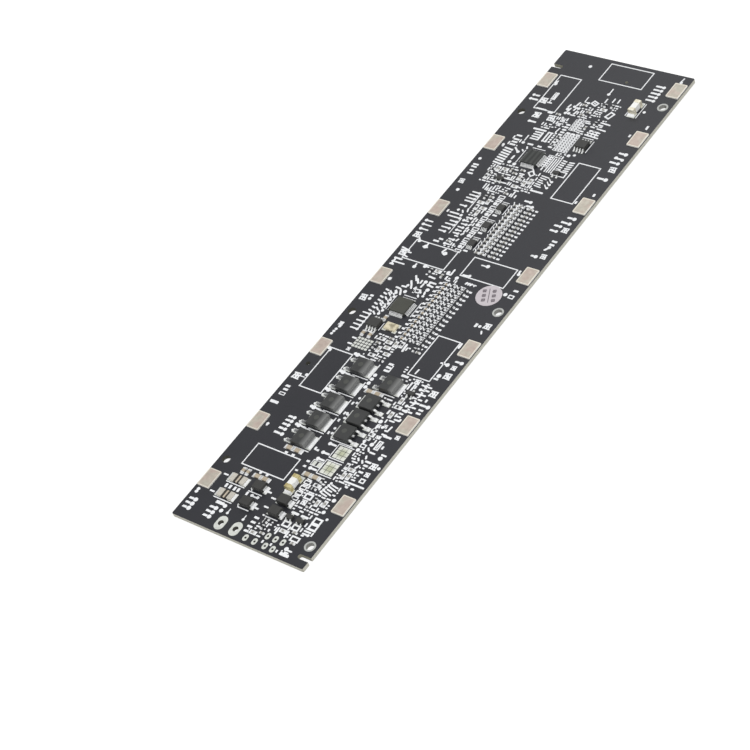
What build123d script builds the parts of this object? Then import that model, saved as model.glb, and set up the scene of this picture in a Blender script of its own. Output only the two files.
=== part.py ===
from build123d import *

import os

# Battery management board of a small electric vehicle: a long board fitted on one face.
# Millimetres. +X across the board, +Y along it from the wire end, +Z out of the fitted face.
# The underside lies on Z = 0 and the origin is under the middle of the board.
# Places on the board are measured from its near left corner, as on a board drawing.

# Bare board
board_width = 60.0
board_length = 256.0
board_thickness = 1.6
corner_radius = 0.6
slot_width = 1.8
right_slot_depth, right_slot_y = 5.0, 4.1
left_slot_depth, left_slot_y = 4.7, 246.3
peg_hole, peg_places = 3.2, [(3.1, 27.6), (3.1, 104.0), (3.1, 218.6)]
vent_hole, vent_places = 1.8, [(3.3, 76.3)]
tooling_hole, tooling_places = 1.3, [(35.0, 246.0)]

# Plated holes, each with a tinned land on the top face, and the small wire holes
land_thickness = 0.05
mounting_hole, mounting_land = 3.0, 4.3
mounting_x, mounting_y, mounting_pitch = 56.5, 8.9, 114.35
power_hole, power_land_length, power_land_width = 2.2, 6.0, 4.0
power_x, power_y, power_pitch = 20.0, 4.0, 6.8
signal_hole = 0.9
signal_places = [(32.6, 2.5), (36.7, 2.5), (41.4, 2.5), (44.8, 2.5), (39.8, 6.3), (43.2, 6.3), (46.5, 6.3)]

# Weld tabs for the cell straps, one for every second cell on each edge
cell_pitch = 19.1
tab_width, tab_length, tab_gauge = 5.4, 7.9, 0.5
tab_margin, tab_corner = 0.35, 0.2
left_tab_y, right_tab_y = 46.65, 27.65
tabs_in_row = 6
end_tab_step = 1.5 * cell_pitch

# Power transistors, the drain tab pointing to +X before they are turned
mosfet_length, mosfet_width, mosfet_height = 6.1, 6.6, 2.3
mosfet_standoff, mosfet_draft, top_break = 0.1, 6, 0.2
frame_gauge = 0.5
drain_reach, drain_width, drain_corner, drain_seat = 1.05, 5.3, 0.6, 0.5
slug_length, slug_width = 4.6, 4.7
gate_pitch, gate_width = 4.58, 0.8
gate_exit, gate_shoulder, gate_heel, gate_reach = 0.9, 0.75, 1.35, 2.85
gate_inner_bend = 0.1
stub_length = 0.8
pack_switch_x, pack_switch_y, pack_switch_pitch, pack_switches = 24.85, 45.9, 8.97, 5
charge_switch_x, charge_switch_y, charge_switch_pitch, charge_switches = 38.4, 53.8, 7.5, 3
spare_switch = (40.45, 78.6)

# Square processor packages, leads on four sides
lqfp_side, lqfp_height, lqfp_standoff, lqfp_exit = 7.0, 1.5, 0.1, 0.735
lqfp_span, lqfp_foot, lqfp_shoulder = 9.0, 0.6, 0.28
lqfp_pitch, lqfp_count, lqfp_lead_width, lqfp_gauge = 0.5, 12, 0.22, 0.13
lqfp_places = [(20.7, 112.35), (23.5, 196.2)]
dimple, dimple_depth, dimple_inset = 0.7, 0.05, 1.0

# Eight-lead packages, leads on two sides
so_length, so_width, so_height, so_standoff, so_exit = 4.9, 3.9, 1.6, 0.12, 0.76
so_span, so_foot, so_shoulder = 6.0, 0.6, 0.25
so_pitch, so_lead_width, so_gauge = 1.27, 0.42, 0.2
so_places = [(38.05, 208.8), (15.9, 101.6)]
msop_length, msop_width, msop_height, msop_standoff, msop_exit = 3.0, 2.8, 1.05, 0.1, 0.5
msop_span, msop_foot, msop_shoulder = 4.7, 0.5, 0.3
msop_pitch, msop_lead_width, msop_gauge = 0.65, 0.3, 0.15
msop_x, msop_y, msop_step, msop_number = 26.95, 149.3, 9.85, 3

# Three-lead packages
sot_length, sot_width, sot_height, sot_standoff, sot_exit = 2.9, 1.6, 1.1, 0.1, 0.5
sot_span, sot_foot, sot_shoulder = 3.0, 0.35, 0.2
sot_pitch, sot_lead_width, sot_gauge = 0.95, 0.4, 0.15
sot_places = [(42.2, 15.9), (46.9, 15.9), (36.9, 192.3), (17.1, 182.7), (49.2, 78.4)]
small_draft = 7

# Clamp diodes with straps folded under both ends
diode_length, diode_width, diode_height, diode_draft = 4.4, 3.6, 2.3, 6
strap_gauge, strap_width, strap_exit, strap_reach, strap_foot = 0.2, 2.1, 1.15, 0.45, 1.1
diode_places = [(23.95, 22.0), (23.95, 14.5), (36.4, 20.6), (36.4, 15.4)]

# Current shunts
shunt_length, shunt_width, shunt_terminal, shunt_height = 6.6, 3.2, 2.0, 0.7
shunt_standoff, shunt_element = 0.1, 0.45
shunt_places = [(13.8, 14.7), (13.8, 21.9)]

# Ceramic fuses lying along the board, a cup cap on each end
fuse_length, fuse_side, fuse_cap, fuse_wall = 6.1, 2.7, 1.5, 0.15
fuse_places = [(34.5, 27.95), (47.1, 233.15)]

# Clock crystal
crystal_length, crystal_width, crystal_height = 5.0, 3.2, 0.8
lid_inset, lid_height = 0.3, 0.25
crystal_place = (22.8, 102.5)

# Round inspection sticker
sticker_diameter, sticker_thickness, sticker_place = 10.0, 0.1, (48.5, 129.0)

# Chip parts: length, width, height and terminal length of each case size
small_case = (1.6, 0.8, 0.45, 0.35)
medium_case = (2.0, 1.25, 0.55, 0.4)
large_case = (3.2, 1.6, 0.6, 0.5)
terminal_proud = 0.03

# Balancing arrays, one row of chips for each cell
rows = 14
lower_y, lower_step = 99.4, 2.2
upper_y, upper_step = 145.9, 2.02

os.makedirs("parts", exist_ok=True)

underside = Plane((-board_width / 2, -board_length / 2, 0))
board_top = underside.offset(board_thickness)
on_seat = (Align.CENTER, Align.CENTER, Align.MIN)


def save(group, name):
    """Label a finished piece and write it as its own file."""
    group.part.label = name
    export_step(group.part, f"parts/{name}.step")


def seat(x, y, turn=0):
    """A place on the top face, turned about its own upright."""
    return Location((x, y, 0), (0, 0, turn))


def run(x, y, count, step_x, step_y, turn=0):
    """Seats in a straight run, each one step on from the last."""
    return [seat(x + n * step_x, y + n * step_y, turn) for n in range(count)]


def placed(piece, seats):
    """Copies of a finished piece on the top face of the board."""
    with BuildPart(board_top) as group:
        with Locations(*seats):
            add(piece)
    return group


def moulding(length, width, height, standoff, exit_height, gauge, draft):
    """A moulded body: a straight band as thick as the leads, drafted halves above and below it."""
    with BuildPart() as body:
        with BuildSketch(Plane.XY.offset(exit_height)):
            Rectangle(length, width)
        extrude(amount=gauge)
        extrude(body.faces().sort_by(Axis.Z)[-1], amount=height - exit_height - gauge, taper=draft)
        extrude(body.faces().sort_by(Axis.Z)[0], amount=exit_height - standoff, taper=draft)
    return body.part


def centred(strip):
    """A formed strip, moved so that its width lies evenly about the X axis."""
    return strip.moved(Location((0, -strip.center(CenterOf.BOUNDING_BOX).Y, 0)))


def gull_wing(root, exit_height, shoulder, foot, tip, gauge, width):
    """A lead bent down from a package's side to the board, running along +X."""
    with BuildPart() as lead:
        with BuildLine(Plane.XZ):
            Polyline((root, exit_height), (root + shoulder, exit_height), (tip - foot, 0), (tip, 0))
        make_brake_formed(thickness=gauge, station_widths=width, side=Side.LEFT)
    return centred(lead.part)


def two_sides(count, pitch):
    """Turned places for the leads along the +Y and -Y sides of a package."""
    along = [(n - (count - 1) / 2) * pitch for n in range(count)]
    return [seat(x, 0, turn) for turn in (90, -90) for x in along]


# Bare board, with its edge slots and its holes
mounting_places = [(mounting_x, mounting_y + n * mounting_pitch) for n in range(3)]
power_places = [(power_x + n * power_pitch, power_y) for n in range(2)]
holes = [(peg_hole, peg_places), (vent_hole, vent_places), (tooling_hole, tooling_places)]
holes += [(mounting_hole, mounting_places), (power_hole, power_places), (signal_hole, signal_places)]
with BuildPart() as circuit_board:
    with BuildSketch(underside) as outline:
        Rectangle(board_width, board_length, align=(Align.MIN, Align.MIN))
        fillet(outline.vertices(), radius=corner_radius)
        with Locations((board_width, right_slot_y)):
            SlotOverall(2 * right_slot_depth, slot_width, mode=Mode.SUBTRACT)
        with Locations((0, left_slot_y)):
            SlotOverall(2 * left_slot_depth, slot_width, mode=Mode.SUBTRACT)
        for diameter, places in holes:
            with Locations(*places):
                Circle(diameter / 2, mode=Mode.SUBTRACT)
    extrude(amount=board_thickness)
save(circuit_board, "circuit_board")

# Plated holes: round lands at the mounting holes, upright ovals for the power wires
with BuildPart() as mounting_rings:
    with BuildSketch(board_top):
        with Locations(*mounting_places):
            Circle(mounting_land / 2)
            Circle(mounting_hole / 2, mode=Mode.SUBTRACT)
    extrude(amount=land_thickness)
save(mounting_rings, "mounting_rings")
with BuildPart() as power_wire_lands:
    with BuildSketch(board_top):
        with Locations(*power_places):
            SlotOverall(power_land_length, power_land_width, rotation=90)
            Circle(power_hole / 2, mode=Mode.SUBTRACT)
    extrude(amount=land_thickness)
save(power_wire_lands, "power_wire_lands")

# Weld tabs, seven along each edge
left_x = tab_margin + tab_width / 2
right_x = board_width - left_x
tab_places = [(left_x, left_tab_y - end_tab_step)]
tab_places += [(left_x, left_tab_y + 2 * n * cell_pitch) for n in range(tabs_in_row)]
tab_places += [(right_x, right_tab_y + 2 * n * cell_pitch) for n in range(tabs_in_row)]
tab_places += [(right_x, right_tab_y + 2 * (tabs_in_row - 1) * cell_pitch + end_tab_step)]
for number, place in enumerate(tab_places, start=1):
    with BuildPart() as cell_tab:
        with BuildSketch(board_top) as blank:
            with Locations(place):
                Rectangle(tab_width, tab_length)
            chamfer(blank.vertices(), length=tab_corner)
        extrude(amount=tab_gauge)
    save(cell_tab, f"cell_tab_{number:02d}")

# Power transistors: the drain plate fills a pocket of the same outline under the body
body_end = mosfet_length / 2
with BuildPart() as drain_plate:
    with BuildSketch() as plate_outline:
        with Locations((body_end + drain_reach, 0)):
            Rectangle(drain_reach + drain_seat, drain_width, align=(Align.MAX, Align.CENTER))
        chamfer(plate_outline.vertices().group_by(Axis.X)[-1], length=drain_corner)
        with Locations((body_end, 0)):
            Rectangle(slug_length, slug_width, align=(Align.MAX, Align.CENTER))
    extrude(amount=frame_gauge)

with BuildPart() as mosfet_body:
    add(moulding(mosfet_length, mosfet_width, mosfet_height, mosfet_standoff, gate_exit, frame_gauge,
                 mosfet_draft))
    chamfer(mosfet_body.faces().sort_by(Axis.Z)[-1].edges(), length=top_break)
    add(drain_plate.part, mode=Mode.SUBTRACT)

gate_tip = body_end + gate_reach
with BuildPart() as gate_lead:
    with BuildLine(Plane.XZ):
        FilletPolyline(
            (body_end, gate_exit),
            (body_end + gate_shoulder, gate_exit),
            (body_end + gate_heel, 0),
            (gate_tip, 0),
            radius=frame_gauge + gate_inner_bend,
        )
    make_brake_formed(thickness=frame_gauge, station_widths=gate_width, side=Side.LEFT)

with BuildPart() as mosfet_frame:
    add(drain_plate.part)
    with Locations(seat(0, gate_pitch / 2, 180), seat(0, -gate_pitch / 2, 180)):
        add(centred(gate_lead.part))
    with Locations((-body_end, 0, gate_exit)):
        Box(stub_length, gate_width, frame_gauge, align=(Align.MAX, Align.CENTER, Align.MIN))

switch_seats = run(pack_switch_x, pack_switch_y, pack_switches, 0, pack_switch_pitch)
switch_seats += [seat(*spare_switch)]
switch_seats += run(charge_switch_x, charge_switch_y, charge_switches, 0, charge_switch_pitch, 180)
for number, place in enumerate(switch_seats, start=1):
    save(placed(mosfet_body.part, [place]), f"mosfet_{number}_body")
    save(placed(mosfet_frame.part, [place]), f"mosfet_{number}_frame")

# Square processor packages
with BuildPart() as lqfp_body:
    add(moulding(lqfp_side, lqfp_side, lqfp_height, lqfp_standoff, lqfp_exit, lqfp_gauge, small_draft))
    corner = dimple_inset - lqfp_side / 2
    with Locations((corner, corner, lqfp_height)):
        Cylinder(dimple / 2, 2 * dimple_depth, mode=Mode.SUBTRACT)
for number, place in enumerate(lqfp_places, start=1):
    save(placed(lqfp_body.part, [seat(*place)]), f"processor_{number}_body")

lqfp_lead = gull_wing(
    lqfp_side / 2, lqfp_exit, lqfp_shoulder, lqfp_foot, lqfp_span / 2, lqfp_gauge, lqfp_lead_width
)
first_lead = -(lqfp_count - 1) / 2 * lqfp_pitch
with BuildPart(board_top) as processor_leads:
    with Locations(*lqfp_places):
        with PolarLocations(0, 4):
            with Locations(*run(0, first_lead, lqfp_count, 0, lqfp_pitch)):
                add(lqfp_lead)
save(processor_leads, "processor_leads")

# Eight-lead packages of both sizes
so_seats = [seat(x, y) for x, y in so_places]
so_body = moulding(so_length, so_width, so_height, so_standoff, so_exit, so_gauge, small_draft)
so_lead = gull_wing(
    so_width / 2, so_exit, so_shoulder, so_foot, so_span / 2, so_gauge, so_lead_width
)
msop_seats = run(msop_x, msop_y, msop_number, 0, msop_step)
msop_body = moulding(
    msop_length, msop_width, msop_height, msop_standoff, msop_exit, msop_gauge, small_draft
)
msop_lead = gull_wing(
    msop_width / 2, msop_exit, msop_shoulder, msop_foot, msop_span / 2, msop_gauge,
    msop_lead_width,
)
save(placed(so_body, so_seats), "driver_bodies")
save(placed(so_lead, [s * t for s in so_seats for t in two_sides(4, so_pitch)]), "driver_leads")
save(placed(msop_body, msop_seats), "monitor_bodies")
save(placed(msop_lead, [s * t for s in msop_seats for t in two_sides(4, msop_pitch)]), "monitor_leads")

# Three-lead packages: two leads on the wire side, one on the other
sot_body = moulding(sot_length, sot_width, sot_height, sot_standoff, sot_exit, sot_gauge, small_draft)
sot_lead = gull_wing(
    sot_width / 2, sot_exit, sot_shoulder, sot_foot, sot_span / 2, sot_gauge, sot_lead_width
)
sot_leads = [seat(-sot_pitch, 0, -90), seat(sot_pitch, 0, -90), seat(0, 0, 90)]
sot_seats = [seat(x, y) for x, y in sot_places]
save(placed(sot_body, sot_seats), "transistor_bodies")
save(placed(sot_lead, [s * t for s in sot_seats for t in sot_leads]), "transistor_leads")

# Clamp diodes: the straps leave the ends, turn down and fold under the body
diode_end = diode_length / 2
strap_outside = diode_end + strap_reach
strap_inside = strap_outside - strap_gauge
foot_end = strap_outside - strap_foot
with BuildPart() as strap:
    with BuildSketch(Plane.XZ):
        with BuildLine():
            Polyline(
                (diode_end, strap_exit + strap_gauge),
                (strap_outside, strap_exit + strap_gauge),
                (strap_outside, 0),
                (foot_end, 0),
                (foot_end, strap_gauge),
                (strap_inside, strap_gauge),
                (strap_inside, strap_exit),
                (diode_end, strap_exit),
                close=True,
            )
        make_face()
    extrude(amount=strap_width / 2, both=True)
diode_seats = [seat(x, y) for x, y in diode_places]
diode_body = moulding(
    diode_length, diode_width, diode_height, strap_gauge, strap_exit, strap_gauge, diode_draft
)
save(placed(diode_body, diode_seats), "diode_bodies")
save(placed(strap.part, [s * seat(0, 0, t) for s in diode_seats for t in (0, 180)]), "diode_straps")

# Current shunts: a raised element between two terminal blocks
shunt_seats = [seat(x, y) for x, y in shunt_places]
element_length = shunt_length - 2 * shunt_terminal
with BuildPart(board_top) as shunt_elements:
    with Locations(*shunt_seats):
        with Locations((0, 0, shunt_standoff)):
            Box(element_length, shunt_width, shunt_element, align=on_seat)
save(shunt_elements, "shunt_elements")
with BuildPart(board_top) as shunt_terminals:
    with Locations(*shunt_seats):
        with GridLocations(element_length + shunt_terminal, 0, 2, 1):
            Box(shunt_terminal, shunt_width, shunt_height, align=on_seat)
save(shunt_terminals, "shunt_terminals")

# Ceramic fuses: the barrel is the size of the inside of its caps
barrel_side = fuse_side - 2 * fuse_wall
with BuildPart() as barrel:
    with Locations((0, 0, fuse_wall)):
        Box(barrel_side, fuse_length - 2 * fuse_wall, barrel_side, align=on_seat)
with BuildPart() as caps:
    with GridLocations(0, fuse_length - fuse_cap, 1, 2):
        Box(fuse_side, fuse_cap, fuse_side, align=on_seat)
    chamfer(caps.edges().filter_by(Axis.Y), length=fuse_wall)
    add(barrel.part, mode=Mode.SUBTRACT)
for number, place in enumerate(fuse_places, start=1):
    save(placed(barrel.part, [seat(*place)]), f"fuse_{number}_barrel")
    save(placed(caps.part, [seat(*place)]), f"fuse_{number}_caps")

# Clock crystal
with BuildPart(board_top) as crystal_base:
    with Locations(crystal_place):
        Box(crystal_length, crystal_width, crystal_height, align=on_seat)
save(crystal_base, "crystal_base")
with BuildPart(board_top.offset(crystal_height)) as crystal_lid:
    with Locations(crystal_place):
        Box(crystal_length - 2 * lid_inset, crystal_width - 2 * lid_inset, lid_height, align=on_seat)
    chamfer(crystal_lid.faces().sort_by(Axis.Z)[-1].edges(), length=lid_height / 2)
save(crystal_lid, "crystal_lid")

# Inspection sticker
with BuildPart(board_top) as inspection_sticker:
    with Locations(sticker_place):
        Cylinder(sticker_diameter / 2, sticker_thickness, align=on_seat)
save(inspection_sticker, "inspection_sticker")

# Chip resistors: two columns in the lower array, one in the upper, then the loose banks
small_resistors = run(33.0, lower_y, rows, 0, lower_step) + run(36.3, lower_y, rows, 0, lower_step)
small_resistors += run(36.2, upper_y, rows, 0, upper_step)
small_resistors += run(46.8, 55.6, 3, 0, 2.0) + run(11.2, 184.6, 2, 0, 2.2) + run(26.3, 206.0, 3, 0, 2.1)

# Chip capacitors: one column in the lower array, two in the upper, then the loose banks
small_capacitors = run(30.0, lower_y, rows, 0, lower_step) + run(31.4, upper_y, rows, 0, upper_step)
small_capacitors += run(33.8, upper_y, rows, 0, upper_step)
medium_capacitors = run(12.8, 25.9, 2, 2.1, 0, 90) + run(14.2, 96.4, 2, 3.2, 0, 90)
medium_capacitors += run(17.8, 105.6, 1, 0, 0, 90)
large_capacitors = run(19.5, 25.8, 2, 3.5, 0) + run(22.3, 41.0, 2, 3.7, 0)
large_capacitors += run(36.2, 33.7, 2, 3.6, 0) + run(34.1, 73.7, 2, 3.7, 0)

resistor_banks = [(small_case, small_resistors)]
capacitor_banks = [(small_case, small_capacitors), (medium_case, medium_capacitors)]
capacitor_banks += [(large_case, large_capacitors)]


def chip_bodies(banks):
    """The bodies of the chips, a little slimmer than the terminals at their ends."""
    with BuildPart(board_top) as bodies:
        for (length, width, height, terminal), seats in banks:
            with Locations(*seats):
                with Locations((0, 0, terminal_proud)):
                    Box(length - 2 * terminal, width - 2 * terminal_proud, height - 2 * terminal_proud,
                        align=on_seat)
    return bodies


save(chip_bodies(resistor_banks), "chip_resistors")
save(chip_bodies(capacitor_banks), "chip_capacitors")
with BuildPart(board_top) as chip_terminals:
    for (length, width, height, terminal), seats in resistor_banks + capacitor_banks:
        with Locations(*seats):
            with GridLocations(length - terminal, 0, 2, 1):
                Box(terminal, width, height, align=on_seat)
save(chip_terminals, "chip_terminals")
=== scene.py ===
import math
import random

import bpy
from mathutils import Matrix, Vector


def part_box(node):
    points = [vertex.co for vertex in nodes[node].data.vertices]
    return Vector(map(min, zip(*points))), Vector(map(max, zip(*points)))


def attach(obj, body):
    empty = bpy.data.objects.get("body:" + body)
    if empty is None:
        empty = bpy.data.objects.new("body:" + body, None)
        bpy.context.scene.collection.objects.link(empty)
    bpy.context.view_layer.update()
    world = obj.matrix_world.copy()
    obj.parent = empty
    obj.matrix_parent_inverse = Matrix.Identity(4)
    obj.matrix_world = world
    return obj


# Looks of a battery management board: printed marks, tinned pads, solder and the finish of every piece.
# Places on the board are in millimetres from its near left corner, as on a board drawing.

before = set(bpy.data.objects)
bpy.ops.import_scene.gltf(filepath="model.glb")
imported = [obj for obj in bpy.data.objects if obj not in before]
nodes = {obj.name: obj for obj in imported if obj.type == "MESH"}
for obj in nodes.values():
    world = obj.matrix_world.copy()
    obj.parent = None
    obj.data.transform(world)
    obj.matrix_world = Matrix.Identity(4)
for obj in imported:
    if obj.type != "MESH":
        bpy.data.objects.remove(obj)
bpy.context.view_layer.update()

MM = 0.001
BOARD_LOW, BOARD_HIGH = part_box("circuit_board")
BOARD_WIDTH = (BOARD_HIGH[0] - BOARD_LOW[0]) / MM
BOARD_LENGTH = (BOARD_HIGH[1] - BOARD_LOW[1]) / MM
BOARD_TOP = BOARD_HIGH[2] / MM

# Thin layers on the mask: how far each stands out, and how far all of them reach into it
PAD_RISE = 0.05
PRINT_RISE = 0.03
SINK = 0.02
PRINT_LINE = 0.5

# Marks: letters stand for strokes only, their height one unit
LETTER_PITCH = 0.68
LETTER_WIDTH = 0.42
LETTER_STROKE = 0.48
LEVEL_STROKES = (-0.26, 0.0, 0.26)
WORD_VARIANTS = 4
# Marks that cross stand on steps this high, so that no two tops share a plane
OVERPRINT = 0.004
OVERPRINT_LEVELS = 6

# Plated holes
WIRE_HOLE = 0.9
WIRE_LAND_WIDTH, WIRE_LAND_LENGTH = 1.9, 2.8
SIGNAL_WIRES = [(x, 2.5) for x in (32.6, 36.7, 41.4, 44.8)] + [(x, 6.3) for x in (39.8, 43.2, 46.5)]
POWER_HOLES, POWER_LAND = [(20.0, 4.0), (26.8, 4.0)], 4.0
MOUNTING_HOLES, MOUNTING_LAND = [(56.5, 8.9 + 114.35 * n) for n in range(3)], 4.6

# Cell tabs down the left and the right edge, and the bright rim of each
LEFT_TABS = [18.0] + [46.65 + 38.2 * n for n in range(6)]
RIGHT_TABS = [27.65 + 38.2 * n for n in range(6)] + [247.3]
LEFT_TAB_X, RIGHT_TAB_X = 3.05, 56.95
TAB_WIDTH, TAB_LENGTH, TAB_RIM = 5.4, 7.9, 0.4
# Edge slots lie farther out along the board than this, and the outer edge within the margin
SLOT_ZONE, EDGE_MARGIN = 118.0, 0.1
# Current shunts and half the width of their bare strip, and the power transistors with the way each is turned
SHUNTS, BARE_STRIP = [(13.8, 14.7), (13.8, 21.9)], 0.36
PACK_SWITCHES = [(24.85, 45.9 + 8.97 * n, 0) for n in range(5)]
SPARE_SWITCH = (40.45, 78.6, 0)
CHARGE_SWITCHES = [(38.4, 53.8 + 7.5 * n, 180) for n in range(3)]
SWITCHES = PACK_SWITCHES + [SPARE_SWITCH] + CHARGE_SWITCHES
# The charge transistors alone stand beyond the first of these across and short of the second along the board
CHARGE_ZONE = (31.0, 72.5)
# Where a transistor's moulding takes its painted highlight towards its frame, and where the frame's painted
# shade gives way to bright tin, past the centre
MOULDING_PAINTED_HIGHLIGHT, FRAME_PAINTED_SHADE = (0.7, 3.3), (2.9, 4.2)
# Round ejector mark in each moulding: its shift from the centre, its radius and that of its floor
EJECTOR_SHIFT, EJECTOR_RADIUS, EJECTOR_FLOOR = (-0.25, 0.15), 1.0, 0.85
# Unfilled transistor footprints: centres of their green middles, and how far the green reaches
OPEN_PADS, OPEN_PAD_GREEN = [(42.0, 46.4), (42.0, 39.0)], 2.5
# What belongs to the second processor lies farther along than this from the middle of the board
SECOND_HALF = 10.0

# The studio, in metres: its floor, the floor's own glow and the light of its walls
FLOOR_SIZE, FLOOR_LEVEL, FLOOR_GLOW, WALL_LIGHT = 8.0, -0.0002, 0.62, 0.48

# Photograph's camera, in millimetres and degrees
FOCAL_LENGTH = 101.88
SENSOR_WIDTH = 36.0
CAMERA_TARGET = (-0.327, -45.913, 0.0)
CAMERA_DISTANCE = 753.645
CAMERA_AZIMUTH = math.radians(-52.5215)
CAMERA_ELEVATION = math.radians(43.7369)
CAMERA_ROLL = math.radians(-22.5454)


def linear(red, green, blue):
    """A colour given as it looks on screen, 0 to 255, in the linear values that shaders use."""
    channels = [value / 255 for value in (red, green, blue)]
    curve = [c / 12.92 if c <= 0.04045 else ((c + 0.055) / 1.055) ** 2.4 for c in channels]
    return (*curve, 1.0)


def board_x(x):
    """A place across the board, in metres of the shared frame."""
    return x * MM + BOARD_LOW[0]


def board_y(y):
    """A place along the board, in metres of the shared frame."""
    return y * MM + BOARD_LOW[1]


def square_from(x, y, place):
    """The square of a point's distance from a place on the board."""
    dx, dy = x - board_x(place[0]), y - board_y(place[1])
    return dx * dx + dy * dy


class Wire:
    """One output socket, with the arithmetic that shader maths needs."""

    def __init__(self, tree, socket):
        self.tree = tree
        self.socket = socket

    def maths(self, operation, *values):
        node = self.tree.nodes.new("ShaderNodeMath")
        node.operation = operation
        for place, value in enumerate(values):
            if isinstance(value, Wire):
                self.tree.links.new(value.socket, node.inputs[place])
            else:
                node.inputs[place].default_value = value
        return Wire(self.tree, node.outputs[0])

    def __add__(self, other):
        return self.maths("ADD", self, other)

    def __sub__(self, other):
        return self.maths("SUBTRACT", self, other)

    def __mul__(self, other):
        return self.maths("MULTIPLY", self, other)

    def __gt__(self, other):
        return self.maths("GREATER_THAN", self, other)

    def __lt__(self, other):
        return self.maths("LESS_THAN", self, other)

    def __radd__(self, other):
        return self.maths("ADD", other, self)

    def __rsub__(self, other):
        return self.maths("SUBTRACT", other, self)

    def magnitude(self):
        return self.maths("ABSOLUTE", self)

    def clamped(self):
        return self.maths("MINIMUM", self.maths("MAXIMUM", self, 0.0), 1.0)


class Finish:
    """A material on its own Principled shader, with one method for every other node."""

    def __init__(self, name, metallic=0.0, roughness=0.5, coat=0.0):
        self.material = bpy.data.materials.new(name)
        self.material.use_nodes = True
        self.tree = self.material.node_tree
        self.shader = self.tree.nodes["Principled BSDF"]
        self.shader.inputs["Metallic"].default_value = metallic
        self.shader.inputs["Roughness"].default_value = roughness
        self.shader.inputs["Coat Weight"].default_value = coat

    def node(self, kind, settings=None, sockets=None, output=0):
        """A node of a kind: its settings first, then the values or links of its sockets."""
        made = self.tree.nodes.new(kind)
        for name, value in (settings or {}).items():
            setattr(made, name, value)
        for name, value in (sockets or {}).items():
            if isinstance(value, Wire):
                self.tree.links.new(value.socket, made.inputs[name])
            else:
                made.inputs[name].default_value = value
        return Wire(self.tree, made.outputs[output])

    def place(self):
        """Where a point is on the object, in metres."""
        return self.node("ShaderNodeTexCoord", output="Object")

    def axes(self, vector):
        """The three parts of a vector."""
        return [self.node("ShaderNodeSeparateXYZ", sockets={"Vector": vector}, output=n) for n in range(3)]

    def normal(self):
        """The three parts of the surface's direction."""
        return self.axes(self.node("ShaderNodeNewGeometry", output="Normal"))

    def bands(self, direction, waves_per_metre, distortion):
        """Soft stripes that follow one another along an axis, from 0 to 1."""
        settings = {"wave_type": "BANDS", "bands_direction": direction}
        sockets = {"Vector": self.place(), "Scale": waves_per_metre, "Distortion": distortion}
        return self.node("ShaderNodeTexWave", settings, sockets)

    def stretched(self, x, y, z):
        """Object places with each axis scaled, for a grain that runs one way."""
        return self.node("ShaderNodeMapping", sockets={"Vector": self.place(), "Scale": (x, y, z)})

    def grain(self, waves_per_metre, detail=2.0, vector=None):
        """Soft noise from 0 to 1."""
        sockets = {"Vector": vector or self.place(), "Scale": waves_per_metre, "Detail": detail}
        return self.node("ShaderNodeTexNoise", sockets=sockets)

    def mix(self, amount, first, second):
        """A colour between two, by an amount from 0 to 1; fixed colours are given as they look on screen."""
        colours = [linear(*c) if isinstance(c, tuple) else c for c in (first, second)]
        sockets = {0: amount, 6: colours[0], 7: colours[1]}
        return self.node("ShaderNodeMix", {"data_type": "RGBA"}, sockets, output=2)

    def feed(self, **inputs):
        """Links or values for the shader's own sockets, named with underscores for spaces."""
        for name, value in inputs.items():
            socket = self.shader.inputs[name.replace("_", " ")]
            if isinstance(value, Wire):
                self.tree.links.new(value.socket, socket)
            else:
                socket.default_value = value
        return self

    def relief(self, height, depth):
        """Small relief from a height between 0 and 1 that is worth a depth in millimetres."""
        sockets = {"Height": height, "Distance": depth * MM, "Strength": 1.0}
        return self.feed(Normal=self.node("ShaderNodeBump", sockets=sockets))


def deselect():
    bpy.ops.object.select_all(action="DESELECT")


def settle(piece, finish):
    """A finished piece takes its material and rides on the board."""
    piece.data.materials.clear()
    piece.data.materials.append(finish)
    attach(piece, "root")


def renamed(name):
    piece = bpy.context.object
    piece.name = name
    piece.data.name = name
    return piece


def leave_edit():
    bpy.ops.object.mode_set(mode="OBJECT")


def pick_faces(pattern, wanted):
    """Leaves edit mode's selection on the faces that a test of place and normal picks."""
    bpy.ops.object.mode_set(mode="EDIT")
    bpy.ops.mesh.select_mode(type="FACE")
    bpy.ops.mesh.select_all(action="DESELECT")
    leave_edit()
    for face in pattern.data.polygons:
        face.select = wanted(face.center, face.normal)
    bpy.ops.object.mode_set(mode="EDIT")


def pick_edges(pattern, wanted):
    """Leaves edit mode's selection on the edges that a test of both ends picks."""
    bpy.ops.object.mode_set(mode="EDIT")
    bpy.ops.mesh.select_mode(type="EDGE")
    bpy.ops.mesh.select_all(action="DESELECT")
    leave_edit()
    corners = pattern.data.vertices
    for edge in pattern.data.edges:
        edge.select = wanted(corners[edge.vertices[0]].co, corners[edge.vertices[1]].co)
    bpy.ops.object.mode_set(mode="EDIT")


def block(length, width, low, high, x=0.0):
    """A box between two heights, in millimetres, from Blender's cube."""
    deselect()
    bpy.ops.mesh.primitive_cube_add(size=1, location=(x, 0, (low + high) / 2))
    bpy.context.object.scale = (length, width, high - low)
    bpy.ops.object.transform_apply()
    return bpy.context.object


def joined(name, parts):
    deselect()
    for part in parts:
        part.select_set(True)
    bpy.context.view_layer.objects.active = parts[0]
    bpy.ops.object.join()
    return renamed(name)


def crowned(pattern, rim, height):
    """Insets a pattern's top by its rim and lifts it by a height."""
    pick_faces(pattern, lambda centre, normal: normal.z > 0.5)
    bpy.ops.mesh.inset(thickness=rim)
    bpy.ops.transform.translate(value=(0, 0, height))
    leave_edit()
    return pattern


def opened(pattern, wall):
    """Keeps only a band along the rim of a flat pattern."""
    pick_faces(pattern, lambda centre, normal: True)
    bpy.ops.mesh.inset(thickness=wall)
    bpy.ops.mesh.delete(type="FACE")
    leave_edit()
    return pattern


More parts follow.
